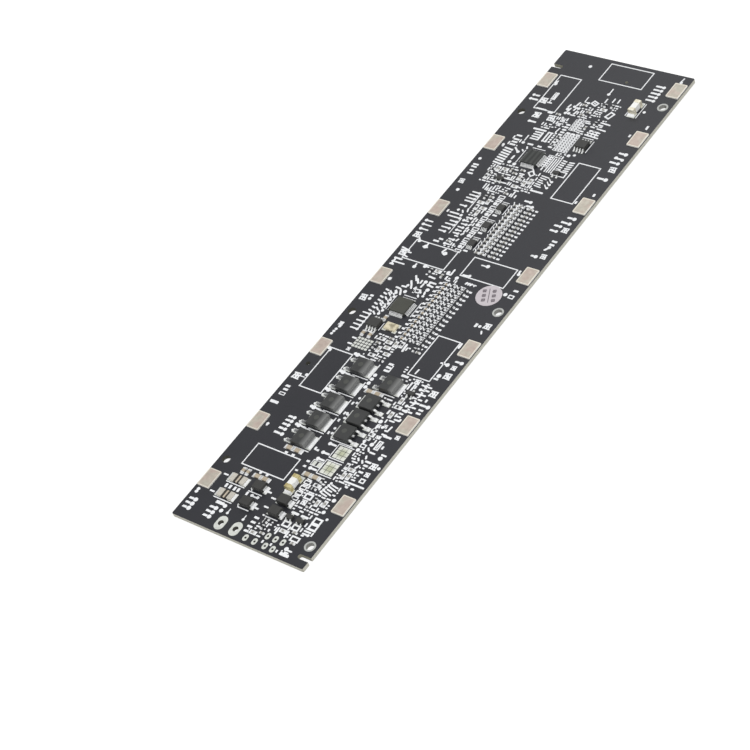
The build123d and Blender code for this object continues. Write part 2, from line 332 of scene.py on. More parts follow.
def thickened(pattern, rise):
    """Gives a flat pattern its thickness, from its rise down to just under the mask."""
    plate = pattern.modifiers.new("plate", "SOLIDIFY")
    plate.thickness = rise + SINK
    plate.offset = -1
    bpy.ops.object.modifier_apply(modifier=plate.name)
    return pattern


def lowered(pattern, wanted, depth):
    """Lowers the edges that a test picks."""
    pick_edges(pattern, wanted)
    bpy.ops.transform.translate(value=(0, 0, -depth))
    leave_edit()
    return pattern


def bevelled(pattern, wanted, offset, segments):
    """Bevels the edges that a test picks."""
    pick_edges(pattern, wanted)
    bpy.ops.mesh.bevel(offset=offset, segments=segments)
    leave_edit()
    return pattern


def disc_pattern(name, sides, rise):
    """A disc one unit across, for a stroke's rounded end or a dot."""
    deselect()
    bpy.ops.mesh.primitive_cylinder_add(
        vertices=sides, radius=0.5, depth=rise + SINK, location=(0, 0, (rise - SINK) / 2),
        rotation=(0, 0, math.pi / sides),
    )
    bpy.ops.object.transform_apply()
    return renamed(name)


def round_pattern(name, sides, rise):
    """A thin disc, eased at its upper edge."""
    return crowned(disc_pattern(name, sides, rise * 0.6), 0.06, rise * 0.4)


def pad_pattern(name, rise):
    """A pad one unit square, its solder crowned a little inside its rim."""
    pattern = block(1, 1, -SINK, rise * 0.5)
    pattern.name = name
    return crowned(pattern, 0.12, rise * 0.5)


def frame_pattern(name, wall, rise):
    """A hollow square one unit across: a plane, inset, opened and given its thickness."""
    deselect()
    bpy.ops.mesh.primitive_plane_add(size=1, location=(0, 0, rise))
    bpy.ops.object.transform_apply()
    return thickened(opened(renamed(name), wall), rise)


def fillet_pattern():
    """Solder that slopes from one unit high at -X down to the board at +X."""
    pattern = block(1, 1, 0, 1)
    pattern.name = "fillet_pattern"
    lowered(pattern, lambda a, b: min(a.x, b.x) > 0.4 and min(a.z, b.z) > 0.9, 0.9)
    return bevelled(pattern, lambda a, b: max(a.x, b.x) < -0.4 and min(a.z, b.z) > 0.9, 0.3, 2)


def chip_core_pattern():
    """The body of a chip, one unit across, with its upper edges broken."""
    pattern = block(1, 1, 0.02, 0.42)
    pattern.name = "chip_core_pattern"
    return bevelled(pattern, lambda a, b: min(a.z, b.z) > 0.4, 0.05, 1)


def chip_ends_pattern():
    """Both end caps of a chip, kept apart when the chip is drawn out to its length."""
    caps = []
    for side in (-1, 1):
        cap = block(0.42, 1.06, 0, 0.45, x=side * 0.29)
        caps.append(bevelled(cap, lambda a, b: min(a.z, b.z) > 0.4, 0.05, 1))
    return joined("chip_ends_pattern", caps)


def chip_solder_pattern():
    """Solder on both pads of a chip, climbing its ends."""
    mounds = []
    for side in (-1, 1):
        mound = block(0.8, 1.14, -SINK, 0.26, x=side * 0.5)
        mounds.append(
            lowered(mound, lambda a, b: min(a.x * side, b.x * side) > 0.5 and min(a.z, b.z) > 0.2, 0.2)
        )
    return joined("chip_solder_pattern", mounds)


def wire_land_pattern():
    """An oval wire land: a disc inset to its hole, its outer rim drawn out along the board."""
    deselect()
    bpy.ops.mesh.primitive_circle_add(
        vertices=24, radius=WIRE_LAND_WIDTH / 2, fill_type="NGON", location=(0, 0, PAD_RISE)
    )
    bpy.ops.object.transform_apply()
    pattern = opened(renamed("wire_land_pattern"), (WIRE_LAND_WIDTH - WIRE_HOLE) / 2)
    for side in (-1, 1):
        pick_edges(
            pattern,
            lambda a, b: min(a.y * side, b.y * side) > -0.001
            and min(a.length, b.length) > WIRE_LAND_WIDTH * 0.45
            and a.xy.length - b.xy.length < 0.01,
        )
        bpy.ops.transform.translate(value=(0, side * (WIRE_LAND_LENGTH - WIRE_LAND_WIDTH) / 2, 0))
        leave_edit()
    return thickened(pattern, PAD_RISE)


def word_pattern(name, letters, stroke, seed):
    """A row of upright and level strokes one unit tall, as a printed mark of so many letters looks."""
    rng = random.Random(seed)
    parts = []
    for n in range(letters):
        x = (n - (letters - 1) / 2) * LETTER_PITCH
        uprights = rng.choice((1, 2, 2))
        for side in range(uprights):
            shift = (side - (uprights - 1) / 2) * LETTER_WIDTH
            parts.append((x + shift, 0.0, 1.0, math.pi / 2))
        for y in rng.sample(LEVEL_STROKES, rng.choice((1, 2, 2))):
            parts.append((x, y, LETTER_WIDTH + LETTER_STROKE, 0.0))
    strokes = []
    for x, y, length, turn in parts:
        mesh = stroke.data.copy()
        half = (length - LETTER_STROKE) / 2
        for corner in mesh.vertices:
            corner.co.x = corner.co.x * LETTER_STROKE + math.copysign(half, corner.co.x)
            corner.co.y *= LETTER_STROKE
        level = OVERPRINT * len(strokes) / OVERPRINT_LEVELS
        mesh.transform(Matrix.Translation((x, y, level)) @ Matrix.Rotation(turn, 4, "Z"))
        line = bpy.data.objects.new(name, mesh)
        bpy.context.collection.objects.link(line)
        strokes.append(line)
    return joined(name, strokes)


# What already stands on a place, sorted into square plots, so that nothing is crowded over it
PLOT = 4.0
TAKEN = {}


def plots(x0, y0, x1, y1):
    """The plots that a rectangle reaches into."""
    across = range(math.floor(x0 / PLOT), math.floor(x1 / PLOT) + 1)
    along = range(math.floor(y0 / PLOT), math.floor(y1 / PLOT) + 1)
    return [(column, row) for column in across for row in along]


def take(x0, y0, x1, y1):
    for plot in plots(x0, y0, x1, y1):
        TAKEN.setdefault(plot, []).append((x0, y0, x1, y1))


def is_free(x0, y0, x1, y1):
    for plot in plots(x0, y0, x1, y1):
        for a, b, c, d in TAKEN.get(plot, ()):
            if x1 > a and x0 < c and y1 > b and y0 < d:
                return False
    return True


class Sheet:
    """Copies of the patterns laid on the board and joined into one piece."""

    def __init__(self, name, finish, slot_name, keeps_clear=False):
        self.name = name
        self.finish = finish
        self.slot_name = slot_name
        self.keeps_clear = keeps_clear
        self.copies = []

    def add(self, mesh, x, y, turn, lift=0.0):
        """A copy's own mesh, turned and placed in metres."""
        level = BOARD_TOP + lift + OVERPRINT * (len(self.copies) % OVERPRINT_LEVELS)
        place = Vector((board_x(x), board_y(y), level * MM))
        spin = Matrix.Rotation(math.radians(turn), 4, "Z")
        mesh.transform(Matrix.Translation(place) @ spin @ Matrix.Scale(MM, 4))
        if self.keeps_clear:
            across = [(corner.co.x - BOARD_LOW[0]) / MM for corner in mesh.vertices]
            along = [(corner.co.y - BOARD_LOW[1]) / MM for corner in mesh.vertices]
            take(min(across), min(along), max(across), max(along))
        copy = bpy.data.objects.new(self.name, mesh)
        bpy.context.collection.objects.link(copy)
        self.copies.append(copy)

    def lay(self, kind, x, y, length, width, turn=0.0, lift=0.0):
        """A copy drawn out to a length at its middle, so that its ends keep their shape."""
        mesh = PATTERNS[kind].data.copy()
        half = max(length - width, 0) / 2
        for corner in mesh.vertices:
            corner.co.x = corner.co.x * width + math.copysign(half, corner.co.x)
            corner.co.y *= width
        self.add(mesh, x, y, turn, lift)

    def fit(self, kind, x, y, length, width, turn=0.0, rise=1.0):
        """A copy scaled to a length, a width and a height."""
        mesh = PATTERNS[kind].data.copy()
        mesh.transform(Matrix.Diagonal((length, width, rise, 1.0)))
        self.add(mesh, x, y, turn)

    def draw(self, *marks):
        """Marks one after another: a word names their kind, and every row after it holds one mark's numbers."""
        for mark in marks:
            if isinstance(mark, str):
                kind = getattr(self, mark)
            else:
                kind(*mark)

    def bar(self, x, y, length, width=0.8, turn=0.0):
        self.lay("bar", x, y, length, width, turn)

    def dot(self, x, y, across=1.4):
        self.lay("dot", x, y, across, across)

    def dots(self, x, y, count, step_x, step_y, across=1.4):
        for n in range(count):
            self.dot(x + n * step_x, y + n * step_y, across)

    def word(self, x, y, letters=3, tall=0.9, turn=0.0):
        """A printed mark of two to five letters; its variant follows from its place."""
        variant = int(x * 7 + y * 13) % WORD_VARIANTS
        self.fit(f"word_{letters}_{variant}", x, y, tall, tall, turn)

    def words(self, x, y, count, step_x, step_y, letters=3, tall=0.9):
        for n in range(count):
            self.word(x + n * step_x, y + n * step_y, letters, tall)

    def tag(self, x, y, letters=3, tall=0.95, dot=1.5, turn=0.0, side=1):
        """A mark with a round blob after it, or before it."""
        reach = (letters * LETTER_PITCH * tall + dot) / 2 + 0.1
        self.word(x, y, letters, tall, turn)
        angle = math.radians(turn)
        self.dot(x + side * reach * math.cos(angle), y + side * reach * math.sin(angle), dot)

    def pin(self, x, y, length, turn=0.0, across=1.25):
        """A bar with a round blob near its end."""
        angle = math.radians(turn)
        reach = length / 2 - 0.4
        self.bar(x, y, length, 0.7, turn)
        self.dot(x + reach * math.cos(angle), y + reach * math.sin(angle), across)

    def ring(self, x, y, length, width, turn=0.0):
        """A hollow outline."""
        self.lay("ring", x, y, length, width, turn)

    def box(self, x0, y0, x1, y1, width=PRINT_LINE):
        """Four lines round a rectangle."""
        for x in (x0, x1):
            self.bar(x, (y0 + y1) / 2, y1 - y0 + width, width, 90)
        for y in (y0, y1):
            self.bar((x0 + x1) / 2, y, x1 - x0 + width, width)

    def hatch(self, x, y, size):
        """A square cluster of crossing strokes, leaning by its place."""
        lean = 9 * (int(x * 3 + y * 5) % 3 - 1)
        for n in (-1, 0, 1):
            short = 0.3 if n == 0 else 0.0
            upright = 90 + 6 * n + lean
            self.bar(x + n * size * 0.31, y + size * 0.04 * n, size * (0.84 - short), size * 0.18, upright)
            self.bar(x - size * 0.04 * n, y + n * size * 0.34, size * (0.9 - short), size * 0.17, 4 * n)
        self.bar(x, y, size * 0.8, size * 0.17, 3 * lean - 50)

    def finished(self):
        """Joins the copies into one piece that rides on the board."""
        settle(joined(self.name, self.copies), self.finish)


def solder_mask():
    """Black mask over the laminate: pale outer cut edges, inner cut edges and tinned hole walls darkened with
    painted shade, and rings round the holes underneath.
    """
    finish = Finish("solder_mask", roughness=0.42)
    x, y, _ = finish.axes(finish.place())
    clouds = finish.grain(40, 3)
    mask = finish.mix(clouds, (29, 30, 36), (44, 45, 51))
    edge = finish.mix(finish.bands("Z", 900.0, 1.5), (176, 174, 160), (210, 208, 198))
    beside = x.magnitude() > (BOARD_WIDTH / 2 - EDGE_MARGIN) * MM
    ahead = y.magnitude() > (BOARD_LENGTH / 2 - EDGE_MARGIN) * MM
    outside = (beside + ahead).clamped()
    slots = y.magnitude() > SLOT_ZONE * MM
    # Painted shade: the walls of the edge slots and of the unplated holes are the pale laminate, painted olive
    # grey in the slots and dark in the holes
    edge = finish.mix(outside, finish.mix(slots, (66, 65, 56), (150, 148, 132)), edge)
    upward = finish.normal()[2]
    sideways = upward.magnitude() < 0.5
    below = upward < -0.5

    def within(places, reach):
        """1 inside a circle round any of the places, 0 elsewhere."""
        inside = 0.0
        for place in places:
            inside = (square_from(x, y, place) < (reach * MM) ** 2) + inside
        return inside.clamped()

    wide = within(MOUNTING_HOLES, MOUNTING_LAND / 2)
    power = within(POWER_HOLES, POWER_LAND / 2)
    signal = within(SIGNAL_WIRES, WIRE_LAND_WIDTH / 2)
    plated = (wide + power + signal).clamped()
    # Painted shade: the tinned walls of the plated holes are painted grey in the mounting holes and dark in the
    # wire holes
    wall = finish.mix((power + signal).clamped(), (150, 150, 146), (78, 76, 70))
    edge = finish.mix(plated, edge, wall)
    tinned = plated * below
    rings = finish.mix(tinned, mask, (198, 200, 194))
    finish.feed(Base_Color=finish.mix(sideways, rings, edge))
    finish.feed(Roughness=0.38 + clouds * 0.1 + sideways * 0.3)
    finish.feed(Metallic=tinned * 0.6)
    settings = {"feature": "DISTANCE_TO_EDGE", "distance": "EUCLIDEAN"}
    sockets = {"Vector": finish.stretched(1, 0.45, 0), "Scale": 260.0}
    traces = finish.node("ShaderNodeTexVoronoi", settings, sockets)
    raised = (traces < 0.06) * 0.6 + finish.grain(2600, 2) * 0.4
    return finish.relief(raised, 0.012).material


def tab_nickel():
    """Satin nickel strip, rolled lengthwise, clouded rose and green, with bright rims, and its sheared side
    faces painted near white as a painted highlight.
    """
    finish = Finish("tab_nickel", metallic=0.3, roughness=0.42)
    x, y, _ = finish.axes(finish.place())
    rolled = finish.grain(900, 3, finish.stretched(1, 0.06, 1))
    clouds = finish.grain(620, 3)
    tint = finish.grain(260, 2)
    flat = 0.0
    for column, rows in ((LEFT_TAB_X, LEFT_TABS), (RIGHT_TAB_X, RIGHT_TABS)):
        inner = (x - board_x(column)).magnitude() < (TAB_WIDTH / 2 - TAB_RIM) * MM
        for row in rows:
            along = (y - board_y(row)).magnitude()
            flat = (along < (TAB_LENGTH / 2 - TAB_RIM) * MM) * inner + flat
    warm = finish.mix(clouds, (174, 154, 144), (220, 206, 194))
    cool = finish.mix(clouds, (168, 173, 157), (212, 214, 198))
    tone = finish.mix(((tint - 0.42) * 5.0).clamped() * 0.6, warm, cool)
    face = finish.mix(rolled * 0.3, tone, (168, 160, 150))
    face = finish.mix(flat, (228, 222, 208), face)
    # Painted highlight: the sheared side faces are painted near white, standing in for the light they catch
    highlit_sides = finish.normal()[2] < 0.5
    finish.feed(Base_Color=finish.mix(highlit_sides, face, (254, 252, 246)))
    finish.feed(Roughness=0.34 + rolled * 0.2)
    return finish.relief(rolled * 0.6 + clouds * 0.4, 0.01).material


def tinned_metal(name, dark, light, roughness, metallic):
    """Tin or solder: bright, slightly uneven, with fine crystals."""
    finish = Finish(name, metallic=metallic, roughness=roughness)
    crystals = finish.grain(4200, 3)
    pools = finish.grain(700, 2)
    finish.feed(Base_Color=finish.mix(pools, dark, light))
    finish.feed(Roughness=roughness - 0.08 + crystals * 0.22)
    return finish.relief(crystals * 0.5 + pools * 0.5, 0.02).material


def moulding(name, dark, light, roughness):
    """Black moulding compound with its fine speckle."""
    finish = Finish(name, roughness=roughness)
    speckle = finish.grain(6500, 3)
    patches = finish.grain(420, 2)
    finish.feed(Base_Color=finish.mix(speckle * 0.5 + patches * 0.5, dark, light))
    finish.feed(Roughness=roughness - 0.1 + speckle * 0.24)
    return finish.relief(speckle, 0.012).material


def processor_moulding():
    """Moulding of the processors: the first olive, the second darker, with faint stripes across its top."""
    finish = Finish("processor_moulding", roughness=0.5)
    y = finish.axes(finish.place())[1]
    speckle = finish.grain(6500, 3)
    blend = speckle * 0.5 + finish.grain(420, 2) * 0.5
    olive = finish.mix(blend, (54, 55, 49), (74, 75, 67))
    dark = finish.mix(blend, (26, 28, 28), (42, 44, 43))
    striped = finish.mix(finish.bands("X", 150.0, 1.2) * 0.4, dark, (84, 88, 84))
    finish.feed(Base_Color=finish.mix(y > SECOND_HALF * MM, olive, striped))
    finish.feed(Roughness=0.4 + speckle * 0.24)
    return finish.relief(speckle, 0.012).material


def graded(finish, x, start, end):
    """From nothing to one along a power transistor, between two distances past its centre, for both columns."""
    columns = PACK_SWITCHES[0][0], SPARE_SWITCH[0]
    start, end = start * MM, end * MM
    rise = [((x - (board_x(column) + start)) * (1 / (end - start))).clamped() for column in columns]
    return finish.mix(x > board_x(sum(columns) / 2), *rise)


def turned_switches(x, y):
    """1 on the charge transistors, whose leads point the other way, 0 elsewhere."""
    return (x > board_x(CHARGE_ZONE[0])) * (y < board_y(CHARGE_ZONE[1]))


def frame_tin():
    """Tinned frames of the power transistors: painted shade and reflection of the dark moulding beside it,
    giving way to bright tin at the free end; the charge transistors' frames are bright all along.
    """
    finish = Finish("frame_tin", metallic=0.7, roughness=0.32)
    x, y, _ = finish.axes(finish.place())
    drawn = finish.grain(700, 3)
    bright = finish.mix(drawn, (222, 224, 224), (251, 252, 251))
    # Painted shade and reflection: grey beside the moulding, brightening towards the free end, except on the
    # charge transistors
    tone = finish.mix(graded(finish, x, *FRAME_PAINTED_SHADE), (142, 143, 145), bright)
    finish.feed(Base_Color=finish.mix(turned_switches(x, y), tone, bright))
    finish.feed(Roughness=0.28 + drawn * 0.14)
    return finish.relief(drawn, 0.015).material


def switch_moulding():
    """Moulding of the power transistors, with the round ejector mark on each top and a painted highlight across
    each top towards its frame, left off the charge transistors.
    """
    finish = Finish("switch_moulding", roughness=0.42)
    x, y, _ = finish.axes(finish.place())
    speckle = finish.grain(6500, 3)
    patches = finish.grain(300, 2)
    mark, rim = 0.0, 0.0
    for px, py, _ in SWITCHES:
        square = square_from(x, y, (px + EJECTOR_SHIFT[0], py + EJECTOR_SHIFT[1]))
        mark = (square < (EJECTOR_RADIUS * MM) ** 2) + mark
        rim = (square < (EJECTOR_FLOOR * MM) ** 2) + rim
    top = finish.mix(speckle * 0.4 + patches * 0.6, (36, 37, 37), (64, 65, 65))
    # Painted highlight: each top is painted lighter towards its frame, except on the charge transistors
    painted_highlight = graded(finish, x, *MOULDING_PAINTED_HIGHLIGHT)
    top = finish.mix(painted_highlight * (1.0 - turned_switches(x, y)), top, (126, 127, 126))
    finish.feed(Base_Color=finish.mix(mark * 0.5, top, (84, 86, 80)))
    finish.feed(Roughness=0.3 + speckle * 0.16 + patches * 0.16)
    return finish.relief(speckle * 0.5 + rim * 0.5, 0.03).material


def crystal_lid():
    """Lid of the clock crystal, cream and worn dark in places."""
    finish = Finish("crystal_cream", roughness=0.4)
    body = finish.grain(900, 3)
    worn = ((finish.grain(420, 2) - 0.52) * 6.0).clamped()
    cream = finish.mix(body, (196, 186, 156), (238, 230, 204))
    finish.feed(Base_Color=finish.mix(worn * 0.7, cream, (112, 102, 74)))
    finish.feed(Roughness=0.34 + body * 0.2)
    return finish.relief(body, 0.015).material


def array_ceramic():
    """Chip capacitors: tan beside the first processor, grey beside the second."""
    finish = Finish("array_ceramic", roughness=0.5)
    y = finish.axes(finish.place())[1]
    body = finish.grain(1500, 3)
    tan = finish.mix(body, (162, 148, 126), (198, 186, 166))
    grey = finish.mix(body, (118, 116, 110), (164, 162, 156))
    finish.feed(Base_Color=finish.mix(y > SECOND_HALF * MM, tan, grey))
    finish.feed(Roughness=0.44 + body * 0.14)
    return finish.relief(body, 0.01).material


def ceramic(name, dark, light, roughness, coat):
    """Fired ceramic, glazed or plain."""
    finish = Finish(name, roughness=roughness, coat=coat)
    body = finish.grain(1500, 3)
    finish.feed(Base_Color=finish.mix(body, dark, light))
    finish.feed(Roughness=roughness - 0.06 + body * 0.14)
    return finish.relief(body, 0.01).material


def print_white():
    """White marking ink, thinner in places."""
    finish = Finish("marking_ink", roughness=0.6)
    thin = (finish.grain(1900, 2) - 0.42) * 2.2
    finish.feed(Base_Color=finish.mix(thin.clamped(), (232, 234, 236), (253, 253, 254)))
    finish.feed(Roughness=0.55 + finish.grain(3000, 2) * 0.2)
    return finish.material


def window_cream():
    """Open copper of the unfilled footprints: green in the middle of each, pale towards its edges."""
    finish = Finish("open_pad", metallic=0.2, roughness=0.4)
    x, y, _ = finish.axes(finish.place())
    pools = finish.grain(600, 3)
    green = 0.0
    for place in OPEN_PADS:
        green = (1.0 - square_from(x, y, place) * (1 / (OPEN_PAD_GREEN * MM) ** 2)).clamped() + green
    pale = finish.mix(pools, (208, 210, 200), (244, 246, 238))
    tinted = finish.mix(pools, (160, 164, 136), (206, 210, 182))
    finish.feed(Base_Color=finish.mix(green.clamped(), pale, tinted))
    finish.feed(Roughness=0.36 + pools * 0.2)
    return finish.relief(pools, 0.02).material


def shunt_element():
    """The dark coat of a shunt, with the bare strip across its middle."""
    finish = Finish("shunt_element", roughness=0.45)
    x = finish.axes(finish.place())[0]
    bare = (x - board_x(SHUNTS[0][0])).magnitude() < BARE_STRIP * MM
    coat = finish.grain(1800, 3)
    dark = finish.mix(coat, (40, 36, 32), (66, 60, 52))
    finish.feed(Base_Color=finish.mix(bare, dark, (190, 178, 160)))
    finish.feed(Roughness=0.4 + coat * 0.15)
    return finish.relief(coat + bare, 0.02).material


def sticker_paper():
    finish = Finish("sticker_paper", roughness=0.55)
    fibres = finish.grain(2400, 3)
    finish.feed(Base_Color=finish.mix(fibres, (188, 181, 186), (205, 198, 202)))
    finish.feed(Roughness=0.5 + fibres * 0.15)
    return finish.relief(fibres, 0.008).material


MASK = solder_mask()
NICKEL = tab_nickel()
TIN = tinned_metal("tin_plate", (206, 208, 208), (246, 247, 246), 0.34, 0.4)
SHUNT_TIN = tinned_metal("shunt_tin", (192, 187, 176), (222, 218, 208), 0.46, 0.4)
SHUNT_COAT = shunt_element()
SOLDER = tinned_metal("solder", (222, 224, 226), (253, 253, 253), 0.28, 0.3)
PAD_TIN = tinned_metal("pad_tin", (200, 203, 196), (238, 240, 234), 0.4, 0.3)
WORN_TIN = tinned_metal("worn_tin", (158, 160, 158), (200, 202, 198), 0.44, 0.2)
# Gold of the first fuse's caps: pools from dark amber to near white, the gold's own tone partly mixed with
# painted highlight and painted shade
GOLD = tinned_metal("gold_plate", (128, 92, 16), (255, 248, 190), 0.26, 0.4)
PALE_GOLD = tinned_metal("pale_gold", (188, 174, 134), (255, 254, 242), 0.26, 0.3)
CRYSTAL_CREAM = crystal_lid()
SWITCH_MOULDING = switch_moulding()
FRAME_TIN = frame_tin()
ARRAY_CERAMIC = array_ceramic()
GREY_CERAMIC = ceramic("grey_ceramic", (128, 126, 120), (176, 174, 168), 0.5, 0.0)
PACKAGE = moulding("moulding_black", (42, 42, 41), (64, 64, 62), 0.48)
PROCESSOR = processor_moulding()
RESISTOR = moulding("resistor_glaze", (30, 30, 34), (56, 56, 60), 0.34)
WHITE_CERAMIC = ceramic("fuse_ceramic", (226, 226, 222), (250, 250, 247), 0.22, 0.5)
INK = print_white()
OPEN_PAD = window_cream()
PAPER = sticker_paper()
GREY_INK = ceramic("sticker_ink", (92, 86, 92), (124, 116, 122), 0.6, 0.0)

NODE_FINISH = {
    "circuit_board": MASK,
    "cell_tab": NICKEL,
    "mosfet": SWITCH_MOULDING,
    "processor": PROCESSOR,
    "driver": PACKAGE,
    "monitor": PACKAGE,
    "transistor": PACKAGE,
    "diode": PACKAGE,
    "shunt_elements": SHUNT_COAT,
    "shunt_terminals": SHUNT_TIN,
    "fuse_1_caps": GOLD,
    "fuse_2_caps": PALE_GOLD,
    "fuse": WHITE_CERAMIC,
    "crystal": CRYSTAL_CREAM,
    "inspection_sticker": PAPER,
    "mounting_rings": WORN_TIN,
    "power_wire_lands": PAD_TIN,
    "chip_resistors": RESISTOR,
    "chip_capacitors": ARRAY_CERAMIC,
    "chip_terminals": TIN,
}


def finish_nodes():
    """Every piece of the construction takes its finish by its name; leads, frames and straps are tin."""
    for name, node in nodes.items():
        if name.endswith("_frame"):
            finish = FRAME_TIN
        elif name.startswith("processor") and name.endswith("_leads"):
            finish = SOLDER
        elif name.endswith(("_leads", "_straps")):
            finish = TIN
        else:
            key = max((k for k in NODE_FINISH if name.startswith(k)), key=len)
            finish = NODE_FINISH[key]
        for place in range(len(node.material_slots)):
            node.material_slots[place].material = finish


finish_nodes()

# The smallest stroke, of which the words are made
STROKE = disc_pattern("stroke_pattern", 6, PRINT_RISE)
PATTERNS = {
    "bar": round_pattern("bar_pattern", 8, PRINT_RISE),
    "dot": round_pattern("dot_pattern", 16, PRINT_RISE),
    "pad": pad_pattern("pad_pattern", PAD_RISE),
    "window": pad_pattern("window_pattern", PRINT_RISE),
    "ring": frame_pattern("ring_pattern", 0.26, PRINT_RISE),
    "fillet": fillet_pattern(),
    "chip_core": chip_core_pattern(),
    "chip_ends": chip_ends_pattern(),
    "chip_solder": chip_solder_pattern(),
    "wire_land": wire_land_pattern(),
}
for letter_count in (2, 3, 4, 5):
    for variant_number in range(WORD_VARIANTS):
        word_name = f"word_{letter_count}_{variant_number}"
        PATTERNS[word_name] = word_pattern(word_name, letter_count, STROKE, letter_count * 10 + variant_number)


def camera_and_light():
    """The photograph's view, a pale floor and soft light that is strongest from the right."""
    look = Vector(
        (
            math.sin(CAMERA_AZIMUTH) * math.cos(CAMERA_ELEVATION),
            math.cos(CAMERA_AZIMUTH) * math.cos(CAMERA_ELEVATION),
            -math.sin(CAMERA_ELEVATION),
        )
    )
    level = look.cross(Vector((0, 0, 1))).normalized()
    upright = level.cross(look)
    right = math.cos(CAMERA_ROLL) * level + math.sin(CAMERA_ROLL) * upright
    up = math.cos(CAMERA_ROLL) * upright - math.sin(CAMERA_ROLL) * level
    stand = Vector(CAMERA_TARGET) * MM - look * CAMERA_DISTANCE * MM
    lens = bpy.data.cameras.new("photo_camera")
    lens.lens = FOCAL_LENGTH
    lens.sensor_width = SENSOR_WIDTH
    lens.clip_end = 20.0
    camera = bpy.data.objects.new("photo_camera", lens)
    bpy.context.collection.objects.link(camera)
    turn = Matrix((right, up, -look)).transposed().to_4x4()
    camera.matrix_world = Matrix.Translation(stand) @ turn
    bpy.context.scene.camera = camera

    deselect()
    bpy.ops.mesh.primitive_plane_add(size=FLOOR_SIZE, location=(0, 0, FLOOR_LEVEL))
    floor = renamed("floor")
    pale = Finish("floor_white", roughness=0.9)
    seen = pale.node("ShaderNodeLightPath", output="Is Camera Ray")
    mirrored = pale.node("ShaderNodeLightPath", output="Is Glossy Ray")
    pale.feed(Base_Color=linear(190, 190, 190), Emission_Color=(1, 1, 1, 1))
    pale.feed(Emission_Strength=(seen + mirrored).clamped() * FLOOR_GLOW)
    floor.data.materials.append(pale.material)

    # Name, place, width and power of each lamp
    lamps = (
        ("key_lamp", (0.75, -0.25, 0.85), 0.7, 7.0),
        ("front_lamp", (-0.35, -0.9, 0.9), 0.9, 3.6),
        ("back_lamp", (-0.3, 0.9, 1.0), 1.0, 3.6),
    )
    for name, place, size, power in lamps:
        lamp = bpy.data.lights.new(name, "AREA")
        lamp.shape = "SQUARE"
        lamp.size = size
        lamp.energy = power
        stand = bpy.data.objects.new(name, lamp)
        stand.location = place
        stand.rotation_euler = (-Vector(place)).to_track_quat("-Z", "Y").to_euler()
        bpy.context.collection.objects.link(stand)

    world = bpy.data.worlds.new("studio")
    world.use_nodes = True
    world.node_tree.nodes["Background"].inputs["Color"].default_value = (1, 1, 1, 1)
    world.node_tree.nodes["Background"].inputs["Strength"].default_value = WALL_LIGHT
    bpy.context.scene.world = world
    bpy.context.scene.view_settings.view_transform = "Standard"


camera_and_light()


# Packages: their centres, and the sizes that their pads follow
PROCESSORS = [(20.7, 112.35), (23.5, 196.2)]
PROCESSOR_LEADS, PROCESSOR_PITCH = 12, 0.5
DRIVERS = [(38.05, 208.8), (15.9, 101.6)]
MONITORS = [(26.95, 149.3 + 9.85 * n) for n in range(3)]
SMALL_TRANSISTORS = [(42.2, 15.9), (46.9, 15.9), (36.9, 192.3), (17.1, 182.7), (49.2, 78.4)]
DIODES = [(23.95, 22.0), (23.95, 14.5), (36.4, 20.6), (36.4, 15.4)]
FUSES = [(34.5, 27.95), (47.1, 233.15)]
CRYSTAL = (22.8, 102.5)
STICKER = (48.5, 129.0)
ROWS = 14
LOWER_Y, LOWER_STEP = 99.4, 2.2
UPPER_Y, UPPER_STEP = 145.9, 2.02

# Chips of the construction: centre, length, width and turn
SMALL, MIDDLE, LARGE = (1.6, 0.8), (2.0, 1.25), (3.2, 1.6)
CHIPS = [(x, LOWER_Y + LOWER_STEP * n, *SMALL, 0) for x in (30.0, 33.0, 36.3) for n in range(ROWS)]
CHIPS += [(x, UPPER_Y + UPPER_STEP * n, *SMALL, 0) for x in (31.4, 33.8, 36.2) for n in range(ROWS)]
for x, y, step, count in ((46.8, 55.6, 2.0, 3), (11.2, 184.6, 2.2, 2), (26.3, 206.0, 2.1, 3)):
    CHIPS += [(x, y + step * n, *SMALL, 0) for n in range(count)]
CHIPS += [(x, 25.9, *MIDDLE, 90) for x in (12.8, 14.9)]
CHIPS += [(x, y, *MIDDLE, 90) for x, y in ((14.2, 96.4), (17.4, 96.4), (17.8, 105.6))]
for y, columns in ((25.8, (19.5, 23.0)), (41.0, (22.3, 26.0)), (33.7, (36.2, 39.8)), (73.7, (34.1, 37.8))):
    CHIPS += [(x, y, *LARGE, 0) for x in columns]

# Large printed rectangles: near left and far right corner of each
FRAMES = [
    (9.9, 28.3, 29.3, 38.2), (7, 66.2, 17, 86), (42.2, 86, 51.9, 105.7), (32, 134, 51.4, 143.8),
    (4.9, 134, 24.3, 144), (42.1, 180.3, 51.8, 200.3), (6.8, 222, 16.5, 242), (23.3, 244.1, 42.8, 254),
]
# Ground of the unfilled footprints, given in the same way
FOOTPRINT_GROUNDS = [(34.0, 35.5, 45.2, 49.6), (13.3, 88.9, 21.2, 95.0)]


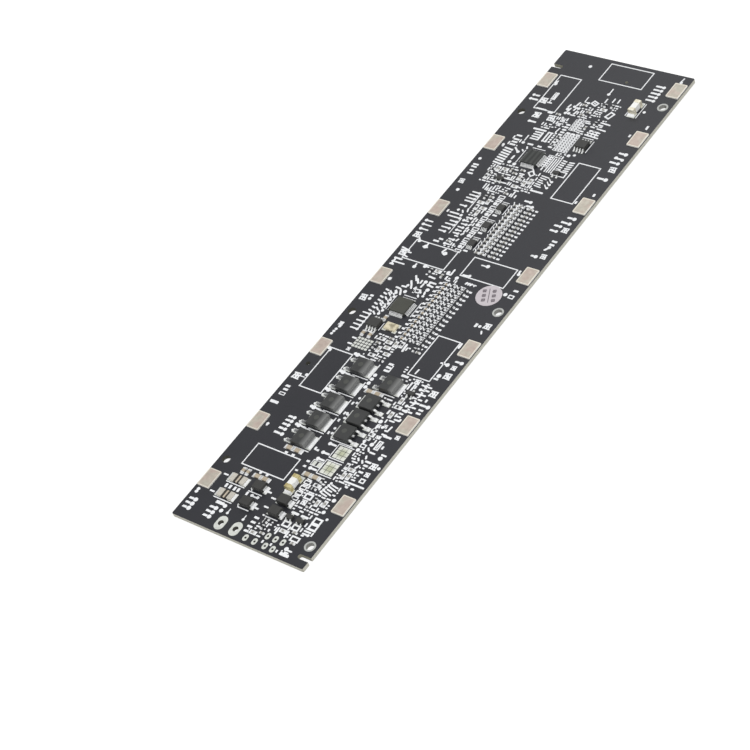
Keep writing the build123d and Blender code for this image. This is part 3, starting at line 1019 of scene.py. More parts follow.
def take_packages():
    """Every package keeps its own ground, with room for its leads: half its width, half its length."""
    for places, half_x, half_y in (
        (PROCESSORS, 5.5, 5.5), (DRIVERS, 2.8, 3.8), (MONITORS, 1.9, 2.9), (SMALL_TRANSISTORS, 1.9, 2.1),
        (DIODES, 3.6, 2.1), (SHUNTS, 4.4, 2.0), (FUSES, 2.1, 4.9), ([CRYSTAL], 3.1, 2.1),
        ([STICKER], 5.3, 5.3), (SIGNAL_WIRES, 1.1, 1.6),
    ):
        for x, y in places:
            take(x - half_x, y - half_y, x + half_x, y + half_y)
    for x, y, turn in SWITCHES:
        near, far = (6.8, 5.1) if turn == 0 else (5.1, 6.8)
        take(x - near, y - 3.5, x + far, y + 3.5)
    for x, y, length, width, turn in CHIPS:
        along, across = (width, length) if turn else (length, width)
        take(x - along / 2 - 0.3, y - across / 2 - 0.3, x + along / 2 + 0.3, y + across / 2 + 0.3)
    for x0, y0, x1, y1 in FRAMES:
        take(x0 - 0.5, y0 - 0.5, x1 + 0.5, y1 + 0.5)


take_packages()


def print_frames():
    sheet = Sheet("printed_frames", INK, "solder_mask")
    for corners in FRAMES:
        sheet.box(*corners)
    sheet.finished()


class Bench:
    """Loose small chips: bodies of two kinds, end caps and solder, each kind one piece."""

    def __init__(self, name):
        self.resistors = Sheet(name + "_resistors", RESISTOR, "resistor_coat")
        self.capacitors = Sheet(name + "_capacitors", GREY_CERAMIC, "tan_ceramic")
        self.ends = Sheet(name + "_chip_ends", TIN, "tinned_metal")
        self.solder = Sheet(name + "_chip_solder", SOLDER, "tinned_metal")

    def chip(self, x, y, turn, kind):
        length, width = SMALL
        bodies = self.resistors if kind == "resistor" else self.capacitors
        bodies.fit("chip_core", x, y, length * 0.9, width * 0.94, turn)
        self.ends.lay("chip_ends", x, y, length, width, turn)
        self.solder.lay("chip_solder", x, y, length, width, turn)

    def column(self, x, y, step, kind):
        """One chip beside every row of an array."""
        for n in range(ROWS):
            self.chip(x, y + n * step, 0, kind)

    def finished(self):
        for sheet in (self.resistors, self.capacitors, self.ends, self.solder):
            sheet.finished()


# Loose chips of a crowded stretch: share of the tries, length and width of the ground they need
CROWD_CHIPS = (("tall_chip", 0.25, 3.0, 1.7), ("chip", 0.75, 2.7, 1.15))
# Printed weave between them: distance of its rows, width of its strokes and the gap after each
WEAVE_ROW = 1.15
WEAVE_STROKE = 0.68
WEAVE_GAP = 0.26
WEAVE_LENGTHS = (0.7, 1.0, 1.0, 1.4, 1.9, 2.6)
# Length of its upright strokes, how far a row may start late, sag, and move on where no stroke fits
WEAVE_UPRIGHT, WEAVE_START, WEAVE_SAG, WEAVE_SKIP = 1.8, 0.6, 0.12, 0.35
# Shares of the chips and of the strokes that stand upright
CHIPS_UPRIGHT, STROKES_UPRIGHT = 0.45, 0.3


def crowd(prints, bench, x0, y0, x1, y1, tries, fill, seed):
    """Fills a crowded stretch: chips on a quarter millimetre grid, then rows of strokes on the ground left."""
    rng = random.Random(seed)
    for kind, share, along, across in CROWD_CHIPS:
        for _ in range(int(tries * share)):
            x = x0 + rng.randrange(int((x1 - x0) * 4) + 1) / 4
            y = y0 + rng.randrange(int((y1 - y0) * 4) + 1) / 4
            upright = rng.random() < CHIPS_UPRIGHT
            half_x, half_y = (across / 2, along / 2) if upright else (along / 2, across / 2)
            if x - half_x < x0 or x + half_x > x1 or y - half_y < y0 or y + half_y > y1:
                continue
            if not is_free(x - half_x, y - half_y, x + half_x, y + half_y):
                continue
            take(x - half_x, y - half_y, x + half_x, y + half_y)
            turn = 90 if upright else 0
            bench.chip(x, y, turn, rng.choice(("resistor", "capacitor", "capacitor")))
            if kind == "tall_chip":
                prints.ring(x, y, 3.0, 1.6, turn)
    y = y0 + WEAVE_STROKE / 2
    while y < y1 - WEAVE_STROKE / 2:
        x = x0 + rng.random() * WEAVE_START
        while x < x1 - WEAVE_STROKE:
            length = rng.choice(WEAVE_LENGTHS)
            upright = rng.random() < STROKES_UPRIGHT
            printed = rng.random() < fill
            across = WEAVE_STROKE if upright else length
            along = WEAVE_UPRIGHT if upright else WEAVE_STROKE
            low = y - WEAVE_STROKE / 2
            clear = x + across < x1 and low + along < y1 and is_free(x, low, x + across, low + along)
            if printed and clear:
                take(x, low, x + across, low + along)
                sag = rng.uniform(-WEAVE_SAG, WEAVE_SAG)
                turn = 90 if upright else 0
                prints.bar(x + across / 2, low + along / 2 + sag, max(along, across), WEAVE_STROKE, turn)
                x += across + WEAVE_GAP
            else:
                x += WEAVE_SKIP
        y += WEAVE_ROW


def package_pads():
    """Tinned pads and solder under the packages, run out past every lead."""
    pads = Sheet("package_pads", PAD_TIN, "tinned_metal")
    solder = Sheet("package_solder", SOLDER, "tinned_metal")

    def pad(x, y, length, width, turn=0.0):
        pads.fit("pad", x, y, length, width, turn)

    def toe(x, y, out, turn, reach, width, rise):
        """A fillet whose tall side stands at a distance out from a centre."""
        angle = math.radians(turn)
        middle = out + reach / 2
        place = x + middle * math.cos(angle), y + middle * math.sin(angle)
        solder.fit("fillet", *place, reach, width, turn, rise=rise)

    for x, y in PROCESSORS:
        for turn in (0, 90, 180, 270):
            angle = math.radians(turn)
            for n in range(PROCESSOR_LEADS):
                across = (n - (PROCESSOR_LEADS - 1) / 2) * PROCESSOR_PITCH
                px = x + 4.3 * math.cos(angle) - across * math.sin(angle)
                py = y + 4.3 * math.sin(angle) + across * math.cos(angle)
                pad(px, py, 0.9, 0.32, turn)
                toe(px, py, 0.18, turn, 0.26, 0.28, 0.16)
    eight_leads = ((DRIVERS, 1.27, 2.8, 1.7, 0.66, 0.3), (MONITORS, 0.65, 2.2, 1.2, 0.42, 0.2))
    for places, pitch, out, length, width, rise in eight_leads:
        for x, y in places:
            for n in range(4):
                for side in (-1, 1):
                    px = x + (n - 1.5) * pitch
                    pad(px, y + side * out, length, width, 90)
                    toe(px, y, out + 0.2, 90 * side, 0.45, width * 0.8, rise)
    for x, y in SMALL_TRANSISTORS:
        for dx, side in ((-0.95, -1), (0.95, -1), (0, 1)):
            pad(x + dx, y + side * 1.5, 1.2, 0.85, 90)
            toe(x + dx, y, 1.5, 90 * side, 0.4, 0.6, 0.25)
    two_ends = (
        (DIODES, 0, 2.45, (2.1, 3.1), 2.65, (0.75, 2.7, 0.9)),
        (SHUNTS, 0, 3.1, (2.6, 3.6), 3.3, (0.9, 3.1, 0.45)),
        (FUSES, 90, 2.95, (2.8, 3.6), 3.05, (0.9, 2.9, 1.0)),
    )
    for places, lean, pad_out, pad_size, toe_out, toe_size in two_ends:
        for x, y in places:
            for side, turn in ((1, lean), (-1, lean + 180)):
                dx, dy = (0, side * pad_out) if lean else (side * pad_out, 0)
                pad(x + dx, y + dy, *pad_size, lean)
                toe(x, y, toe_out, turn, *toe_size)
    for dx in (-2.3, 2.3):
        for dy in (-1.4, 1.4):
            pad(CRYSTAL[0] + dx, CRYSTAL[1] + dy, 1.8, 1.5)
    for x, y, turn in SWITCHES:
        side = 1 if turn == 0 else -1
        pad(x + side * 1.95, y, 6.2, 6.0)
        toe(x, y, 4.1, turn, 0.75, 5.2, 0.5)
        for dy in (-2.29, 2.29):
            pad(x - side * 5.3, y + dy, 3.0, 1.7)
            toe(x, y + dy, 5.5, turn + 180, 0.9, 1.5, 0.55)
    for x, y, length, width, turn in CHIPS:
        solder.lay("chip_solder", x, y, length, width, turn)
    for x, y in SIGNAL_WIRES:
        pads.fit("wire_land", x, y, 1, 1)
    pads.finished()
    solder.finished()


def spare_footprints():
    """Two unfilled transistor footprints and an unfilled square one: open pads in a dark grid."""
    windows = Sheet("spare_footprint_windows", OPEN_PAD, "tinned_metal")
    for y0 in (43.6, 36.2):
        for column in range(3):
            for row in range(3):
                windows.fit("window", 40.15 + 1.85 * column, y0 + 0.95 + 1.85 * row, 1.68, 1.68)
    tinned = Sheet("spare_square_windows", PAD_TIN, "tinned_metal")
    for column in range(5):
        for row in range(4):
            tinned.fit("window", 14.2 + 1.45 * column, 89.9 + 1.35 * row, 1.15, 1.0, 6 * (-1) ** (column + row))
    tinned.fit("window", 35.2, 39.0, 1.4, 1.9)
    tinned.fit("window", 37.4, 39.0, 1.4, 1.9)
    for ground in FOOTPRINT_GROUNDS:
        take(*ground)
    windows.finished()
    tinned.finished()


def switch_marks():
    """Corner lines, dashes and polarity dots round the power transistors."""
    sheet = Sheet("printed_switch_marks", INK, "solder_mask", keeps_clear=True)
    for x, y, _ in PACK_SWITCHES:
        sheet.draw(
            "bar", (x + 5, y + 0.5, 7.2, 0.5, 90), (x + 1.6, y - 3.75, 7.2, 0.45),
            (x - 2.6, y + 4.7, 4.6, 0.6, -5), (x - 4.4, y + 5, 3, 0.6), "dot", (x - 7.2, y + 5.1),
            (x - 6, y + 4.9, 1.8), (x - 6.9, y - 2.3, 0.9), (x - 6.9, y + 2.3, 0.9),
        )
    x, y, _ = SPARE_SWITCH
    sheet.draw("bar", (x + 5, y + 0.3, 6.8, 0.4, 90), (x - 0.5, y - 3.8, 9, 0.45))
    x, y, _ = CHARGE_SWITCHES[0]
    sheet.draw("bar", (x - 4.6, y - 3, 1.6, 0.4, 110), (x + 0.4, y - 3.6, 10, 0.45))
    for x, y, _ in CHARGE_SWITCHES:
        sheet.draw("dot", (x - 6, y + 1, 1.1), (x - 5.6, y - 1.2, 1.1), "word", (x + 8, y - 0.2, 3, 0.9, 90))
    sheet.dots(31.1, 75, 4, 0, 2, 1.6)
    for y in (44.6, 52.2, 58.4, 62, 66.9):
        sheet.word(31.4, y, 2, 0.9, 90)
    for y in (48.4, 44.2, 41.2, 36.6):
        sheet.draw("bar", (36.4, y, 3.4, 0.9), "dot", (35.1, y, 1.5))
    for low, high in ((43.2, 49.6), (35.7, 42.1)):
        sheet.draw(
            "bar", (38.5, (low + high) / 2, high - low, 0.4, 90), (41.8, low, 6.8, 0.4), (41.8, high, 6.8, 0.4),
        )
    sheet.box(34.1, 37.9, 38.3, 40.3, 0.3)
    sheet.finished()


def near_marks():
    """Marks of the wire end, up to the first transistors."""
    sheet = Sheet("printed_near_marks", INK, "solder_mask", keeps_clear=True)
    for y in (4.4, 6.4, 8.4):
        sheet.draw("tag", (2.5, y, 3, 0.95, 1.8), (12.2, y, 3, 0.95, 1.7))
    sheet.draw("dots", (2.2, 11.5, 2, 0, 1.2), (16.6, 8.3, 2, 0, 2.2, 1.6), "word", (14, 10.9, 4, 1.3))
    for x in (19.4, 26.7):
        sheet.draw("bar", (x, 9.4, 2, 0.45, 90), "dot", (x, 8.4, 1.1))
    sheet.draw(
        "bar", (7.7, 22, 2.2, 0.75), (7.7, 14, 2.2, 0.75), (28, 21.9, 2.2, 0.75), (28, 14.3, 2.2, 0.75),
        (31.2, 20.3, 2.2, 0.75), (31.1, 16.2, 2.2, 0.75), (13.8, 12.3, 8.6, 0.45), (13.8, 19.7, 8.6, 0.45),
        (23.6, 12.1, 5.2, 0.45), (20.9, 12.6, 1.6, 0.4, 128), (23.3, 19.4, 6.4, 0.45),
        (21, 20.4, 1.6, 0.4, 128), (36, 12.9, 5.6, 0.4),
    )
    for x in (11, 12.8, 14.9, 16.6):
        sheet.word(x, 18.1, 2, 1.1, 90)
    sheet.draw(
        "word", (20.6, 18.2, 2, 1, 90), "dots", (22.9, 18.2, 2, 2.6, 0, 1.3), "bar", (24.4, 18, 3, 0.6),
        "dots", (19.3, 27.7, 2, 3, 0, 1.2), "words", (30.9, 5, 4, 0, 2, 3, 0.95), "word", (31, 33.8, 2, 0.8),
    )
    for n, y in enumerate((30.9, 28.4, 25.9, 23.5)):
        sheet.draw("ring", (38.3, y, 2.8, 1.7), "bar", (38.3, y + 1.25, 2.4, 0.6, -8 + 12 * (n % 2)))
    sheet.draw("ring", (42.6, 26, 3.4, 2.6), "hatch", (42.6, 23.3, 2.6))
    for n, length in enumerate((3, 4.8, 2.6, 4.4, 3.4)):
        sheet.draw(
            "bar", (47.2 + 0.4 * n, 28.9 + 1.1 * n, length, 0.65, -9 - 4 * (n % 2)),
            "dot", (45.4 + 0.3 * n, 29.6 + 1.1 * n, 1.1),
        )
    sheet.draw(
        "ring", (52.4, 18.4, 3.6, 2.9), (52.5, 15.8, 3.6, 2.7), "bar", (52.4, 14.5, 4.2, 0.5),
        (51.8, 13.5, 3.2), (51.4, 12.3, 2.2), "dot", (52.9, 12.3, 1.2), (52.2, 28.2, 1.6), (51.9, 22.6, 1.5),
        (55, 20.5, 1.1), "ring", (49.6, 9.1, 3.8, 2.4), "bar", (50.6, 4.3, 3, 0.7), "dot", (49.4, 4.6, 1.7),
        "word", (50.2, 2.3, 4, 1.4), (39.4, 3.7, 2, 0.8, 90), (43, 3.8, 2, 0.8, 90), (46.7, 2.4, 2, 0.8, 90),
        (38.4, 8.4, 2, 0.8, 90),
    )
    for x in (41.3, 45.5):
        sheet.draw(
            "bar", (x, 9.6, 3.2, 0.8, 90), "ring", (x + 1.3, 13.2, 3.2, 2.6), "bar", (x + 1.4, 18.2, 3.4, 1.1),
        )
    sheet.draw(
        "word", (3, 64.4, 3, 1), (3.2, 62.7, 3, 1), "ring", (3.2, 60.6, 2.6, 1.4), "word", (2.9, 56.3, 4, 1.3),
        "dot", (7.2, 47, 1.2), "tag", (13.3, 47.3), (13.3, 49.3), (13.3, 51.2), (13.3, 53),
        (13.2, 45, 4, 1, 1.6), "word", (22.3, 38.9, 2), (25.5, 38.9, 2), (32.5, 44.2, 2), (32.5, 38.8, 2),
        (32.6, 36.5, 2), (32.8, 61.8, 2), "ring", (52.3, 54.4, 4.2, 2, 90), "bar", (52.3, 54.4, 2.8, 0.6, 84),
        "hatch", (46.9, 61.8, 1.9), (46.9, 55.6, 1.8), (49.6, 57.5, 1.7), (49.4, 62.6, 1.8),
        "ring", (47, 57.6, 2.5, 1.8), (47.1, 52.2, 2.5, 1.8), "word", (54.3, 54.2, 2, 0.9, 90),
        (53, 58.8, 5, 1), "hatch", (56.6, 60, 2.1), "bar", (56.8, 51.5, 2.4), "dot", (56.4, 49.9, 1.8),
        "word", (53.3, 46.9, 4), (53.4, 45.2), "hatch", (56.4, 46, 3.2), "dot", (58.6, 46, 1.3),
        "word", (53.5, 42.2), "hatch", (56.4, 42.1, 2.3), "ring", (56.4, 39.2, 2.2, 2), "bar", (54.6, 36.7, 9),
        "word", (52.7, 34.8, 2), (55.3, 34.8, 2), "dot", (46.3, 63.8, 1.7), (46.3, 59.3, 1.8),
        (49.7, 53.9, 1.7), (46.4, 50, 1.6), (46.2, 54.2, 1.3), (48.6, 61.9, 1.3), "bar", (51.6, 66.5, 2.8),
        (51.2, 68.1, 2), (51.2, 69.6, 2), (51.7, 71, 2.4, 0.8, -8), (51.6, 62.4, 2.4, 0.8, 82), (50.9, 61, 1.8),
        (50.6, 57.6, 1.6, 0.8, 90), (51.2, 59.2, 2.4), (50, 51.6, 2.2, 0.8, -50), (52.2, 50.8, 2.6),
        (51.3, 48.4, 1.8, 0.8, -64), (49.2, 46.6, 1.8, 0.8, -50), (51.2, 46.2, 1.8, 0.8, -50),
        (50.9, 43.6, 2.2, 0.8, 60),
    )
    sheet.finished()


def middle_marks():
    """Marks beside the transistors and round the first processor."""
    sheet = Sheet("printed_middle_marks", INK, "solder_mask", keeps_clear=True)
    sheet.draw(
        "hatch", (2.9, 69.8, 3.6), "bar", (4.8, 70.2, 3.4, 0.5), "dot", (6.3, 71.5, 1.3), (6.3, 85.6, 1.5),
        "dots", (2.6, 91.8, 3, 0.15, 1.25, 1.2), (3.4, 95.9, 2, -0.2, 1.4, 1.3), "hatch", (3.1, 97.3, 2.2),
        "bar", (12.4, 93.2, 2.2), (12.4, 90.3, 2.2), "hatch", (13.6, 87.9, 1.8),
        "words", (33.7, 84.3, 3, 0, 1.6, 3, 1), "bar", (35, 85.6, 3.4, 0.5, 90), (33.6, 96, 4, 1, 95),
        "word", (42, 84.7, 4, 1.1), "hatch", (48, 84.2, 2.6),
    )
    for n in range(7):
        y = 71.3 + 2.05 * n
        sheet.draw(
            "pin", (51.4 + 0.3 * (n % 3), y, 2.4, 180 * (n % 2), 1.35), "bar", (53.9, y + 0.2 * (n % 3), 2),
            (52.6, y + 1, 1.3, 0.6, 70 * (n % 2) - 20),
        )
    sheet.draw(
        "bar", (46.4, 81.6, 3.8, 0.8, 90), (48, 80.4, 5.6, 0.8, 90), (44.9, 88.2, 2.6, 0.7, 85), (52, 95, 3),
        "dot", (53.6, 95, 1.7), (53.7, 89.5, 1.8), "word", (53.5, 87.9), "tag", (56.3, 97.5, 3, 0.9, 1.6),
        "hatch", (56.7, 94.6, 2.4), (56.8, 90.5, 3.4), (57, 81.6, 3.4), "word", (56.3, 78, 2, 0.9, 90),
        "tag", (56.4, 75.7, 4, 0.95, 1.7), "word", (57, 73.6), (57, 72), "hatch", (3, 111.5, 3.4),
        "word", (5.7, 113.3, 2, 1), "dot", (5.8, 111.7), (7, 123, 1.6), "pin", (9.2, 97.2, 3.8),
        (9.2, 99.2, 3.8), (9.2, 101.1, 3.8), (9.2, 103.2, 3.8), (9.2, 105.2, 3.8),
        "bar", (10.9, 101.2, 8.4, 0.5, 90),
    )
    for n in range(7):
        y = 106.8 + 1.85 * n
        sheet.draw(
            "bar", (9.7 + 0.3 * (n % 2), y, 2, 0.8, -14), (11.8, y - 0.5 + 0.4 * (n % 3), 2.2, 0.75, -36),
            "dot", (13.8 + 0.5 * (n % 2), y - 0.2, 1.3), "bar", (13.4, y + 0.8, 1.3, 0.6, -40),
        )
    sheet.draw(
        "bar", (18.9, 101.4, 4, 0.4, 90), (16.4, 97.9, 2.6, 0.5), (20.4, 118, 5.8, 0.4),
        (26.4, 113.2, 7.6, 0.35, 90), (15, 113.2, 7.6, 0.35, 90),
    )
    chained = (
        (16.8, 126.8, 3.2, -52), (18.3, 125.8, 3, -52), (16.4, 124.2, 2.6, -52), (17.6, 122.4, 2.2, -60),
        (19.8, 125.9, 2, 90), (21.3, 124.4, 2.4, 85), (24.4, 126.9, 3.4, 0), (24.3, 125.3, 3.4, -8),
        (23.4, 126, 2.4, 90), (24.5, 121.4, 2, -70), (14.9, 121.6, 2.6, 4), (13.2, 120.2, 2.8, -6),
        (15.3, 118.6, 3, -62), (22.9, 119.4, 1.6, -52), (13.4, 118.3, 1.8, -30), (22.4, 129.2, 3.4, -4),
        (19.4, 122.4, 1.6, 70), (22.4, 121.6, 2.2, -50), (20, 120.8, 1.8, 80),
    )
    for x, y, length, turn in chained:
        sheet.bar(x, y, length, 0.85, turn)
    sheet.draw(
        "dot", (21.5, 126.4, 1.6), (24.6, 123.2, 1.7), (16.8, 119.5, 1.5), (15.9, 122.6, 1.2),
        (24.8, 119.9, 1.1), "ring", (21, 121.4, 2.8, 2), "word", (52.4, 115, 2, 1.2, 90), "dot", (54, 115, 1.3),
        "hatch", (56.8, 116, 3.2), "bar", (56.3, 112.7, 1.8, 0.7, -60), (52.7, 104, 2, 1, 90),
    )
    for n in range(ROWS):
        y = LOWER_Y + LOWER_STEP * n
        sheet.draw(
            "word", (27.4, y, 2, 0.95), (40.9, y - 0.1, 2), "bar", (28.7, y + 0.9, 2, 0.4, 20),
            (31.4, y + 0.4, 2.4, 0.5, -42), (34.6, y + 0.5, 2.4, 0.5, -42), "word", (32.8, y + 1.1, 3, 0.55),
            (36.3, y + 1.1, 3, 0.55), "bar", (37.6, y + 1.1, 1.2, 0.35),
        )
    sheet.finished()


def upper_marks():
    """Marks about the middle of the board and along the upper array."""
    sheet = Sheet("printed_upper_marks", INK, "solder_mask", keeps_clear=True)
    sheet.draw(
        "pin", (4.2, 149.5, 4, 180, 1.4), (4, 151.8, 4.4, 180, 1.4), (3.6, 154, 3.6, 180, 1.4),
        "hatch", (3.4, 146.3, 3.4), "bar", (5.6, 144.6, 3, 0.8, -45), "dot", (6.2, 143.7, 1.5),
        "hatch", (3.6, 136.4, 3.6), "bar", (4.6, 137.2, 5, 0.7), (5.2, 135.2, 3.6, 0.7, -14),
        (3.6, 138.3, 4.4, 0.8, -10), (3.8, 133, 4, 0.9), (5, 131.2, 6.2, 0.7), (2.8, 131.6, 3.2, 0.9, 90),
        "word", (3, 129.8), "dot", (10.3, 141.9, 1.9), "bar", (10.5, 143, 1.8, 0.8, 90),
        (10.3, 141.7, 2.6, 0.6), (12.4, 132.4, 2, 0.8, 90), "dot", (12.4, 131.6, 1.6),
        "bar", (18.6, 142.6, 2.4, 0.9, 70), "dot", (19.8, 141.4, 1.9), "bar", (19.6, 141.4, 2.6, 0.7),
        "dot", (16.4, 133.2, 1.7), "bar", (17.4, 133.2, 1.8, 0.7), (28.5, 134.2, 3.4, 0.8, 90),
        "dot", (27, 133.6, 1.5), "bar", (27.6, 132.8, 2.4), (27.8, 131, 2, 0.9, 90), "dot", (31.7, 132.3, 1.6),
        "bar", (31.6, 131, 1.6, 0.5, 90), (38, 141.2, 2.6, 0.6), "dot", (39.6, 141.4, 1.7),
        "bar", (34.4, 134.6, 3.4, 0.8, 5), "dot", (35.8, 134.9, 1.3), "bar", (36.8, 131.3, 1.5, 0.8, 70),
        (37.9, 131.3, 1.5, 0.8, 70), (38.9, 131.3, 1.5, 0.8, 70), (38.8, 131.5, 5, 0.5),
        (40.4, 131.2, 1.2, 0.5, 90), "dot", (54, 131.7, 1.6), "ring", (56.7, 131.4, 2.4, 1.8),
        "word", (56.8, 134.5, 3, 1), "dot", (53, 142), "pin", (11.4, 151.3, 3.4), (11.8, 153.3, 4.2),
        (12.4, 155.3, 4.6), (12.8, 157.1, 3.6), (11.6, 159.2, 6.2), (11.4, 165.6, 3.2), (12.2, 168.3, 4),
        (12, 169.9, 4.4), (12.2, 171.6, 4.2), (12.4, 173.3, 3.8), "bar", (14.7, 169, 8, 0.45, 90),
        (14.9, 155.3, 8.6, 0.4, 90), (10.6, 161, 4.6), "dot", (13.8, 160.8, 1.3), (11, 163, 1.2),
        "bar", (13.2, 162.8, 1.8, 0.7, -52), (14.8, 164, 2.2, 0.7, -72),
    )
    for n in range(16):
        y = 144.4 + 2.0 * n
        if n % 3 == 0:
            sheet.ring(23.6, y, 2.8, 1.7)
        elif n % 3 == 1:
            sheet.draw("dot", (23.1, y + 0.2, 1.7), "bar", (24.4, y + 0.1, 1.8, 0.7, 80))
        else:
            sheet.draw(
                "bar", (23.6, y + 0.5, 2.8, 0.7, -6), (23.2, y - 0.4, 2, 0.7, 4), (24.6, y, 1.8, 0.6, 90),
            )
    sheet.draw("word", (12.5, 145.9, 4), (13.8, 147.4))
    for n, y in enumerate((146, 148.7, 152, 153.6, 155.3, 157.1, 158.9, 160.7)):
        sheet.draw(
            "pin", (17.4 + 0.3 * (n % 2), y, 2.8, 180 * (n % 3 == 0)),
            "bar", (20.2, y + 0.4, 1.7, 0.85, 90 - 20 * (n % 3)),
        )
    for x, y in MONITORS:
        sheet.draw("bar", (x, y + 3.4, 3.2, 0.35), (x + 2.3, y, 5.6, 0.35, 90), "word", (x - 0.4, y - 3.9))
    sheet.draw(
        "word", (56.4, 161, 3, 1), (56.4, 159.2, 3, 1), "tag", (55.4, 156.4, 2, 1, 1.5, 60),
        (52.4, 152, 2, 0.9, 1.6), "hatch", (56.7, 153, 2.8), "dot", (2.6, 190), "word", (3, 186.6, 4),
        (3, 185.3, 4), (3.2, 183.4), (3.5, 181.7, 4), "hatch", (2.8, 177, 2.8), "dot", (4.2, 172.3, 1.5),
        "bar", (13.4, 177.6, 3, 0.7, 90), (14.6, 177.4, 3.4, 0.7, 90), (16.4, 176.8, 3, 0.7, 90),
        (17.6, 177.9, 2.8, 0.7, 90), (26.9, 177.2, 3.4, 0.7, 90), "tag", (34.2, 175.7), (36.2, 173.6),
        (55.1, 173.6, 3, 1, 1.7), (54.4, 170.8, 4, 1, 1.6), (52.4, 168.5, 3, 0.95, 1.4),
        (52.2, 165.8, 3, 0.95, 1.4), "hatch", (57, 167.4, 3), "word", (57.2, 187, 2, 1, 90),
    )
    for n, length in enumerate((3.4, 2.6, 3, 2.2, 3.2, 3.8)):
        sheet.bar(31.8 + length / 2, 184 + 1.1 * n, length, 0.6, -5)
    for y in (184.4, 186.2, 187.8):
        sheet.draw("bar", (36.4, y + 0.7, 1.9, 0.5, -45), "dot", (37.6, y, 1.2))
    sheet.draw(
        "bar", (34.8, 181.4, 6, 0.9), (18.4, 183.8, 8, 0.7), (17, 181.4, 8, 0.7),
        "ring", (27.4, 189.3, 3, 2.4, -40),
    )
    for n in range(ROWS):
        y = UPPER_Y + UPPER_STEP * n
        sheet.draw(
            "word", (41, y, 2), "bar", (30.3, y + 0.9, 1.9, 0.5, -56), (32.6, y + 0.9, 1.9, 0.5, -56),
            (33, y + 0.95, 2.2, 0.35, 24), (35.2, y + 0.6, 1.6, 0.4, -40),
        )
    sheet.finished()


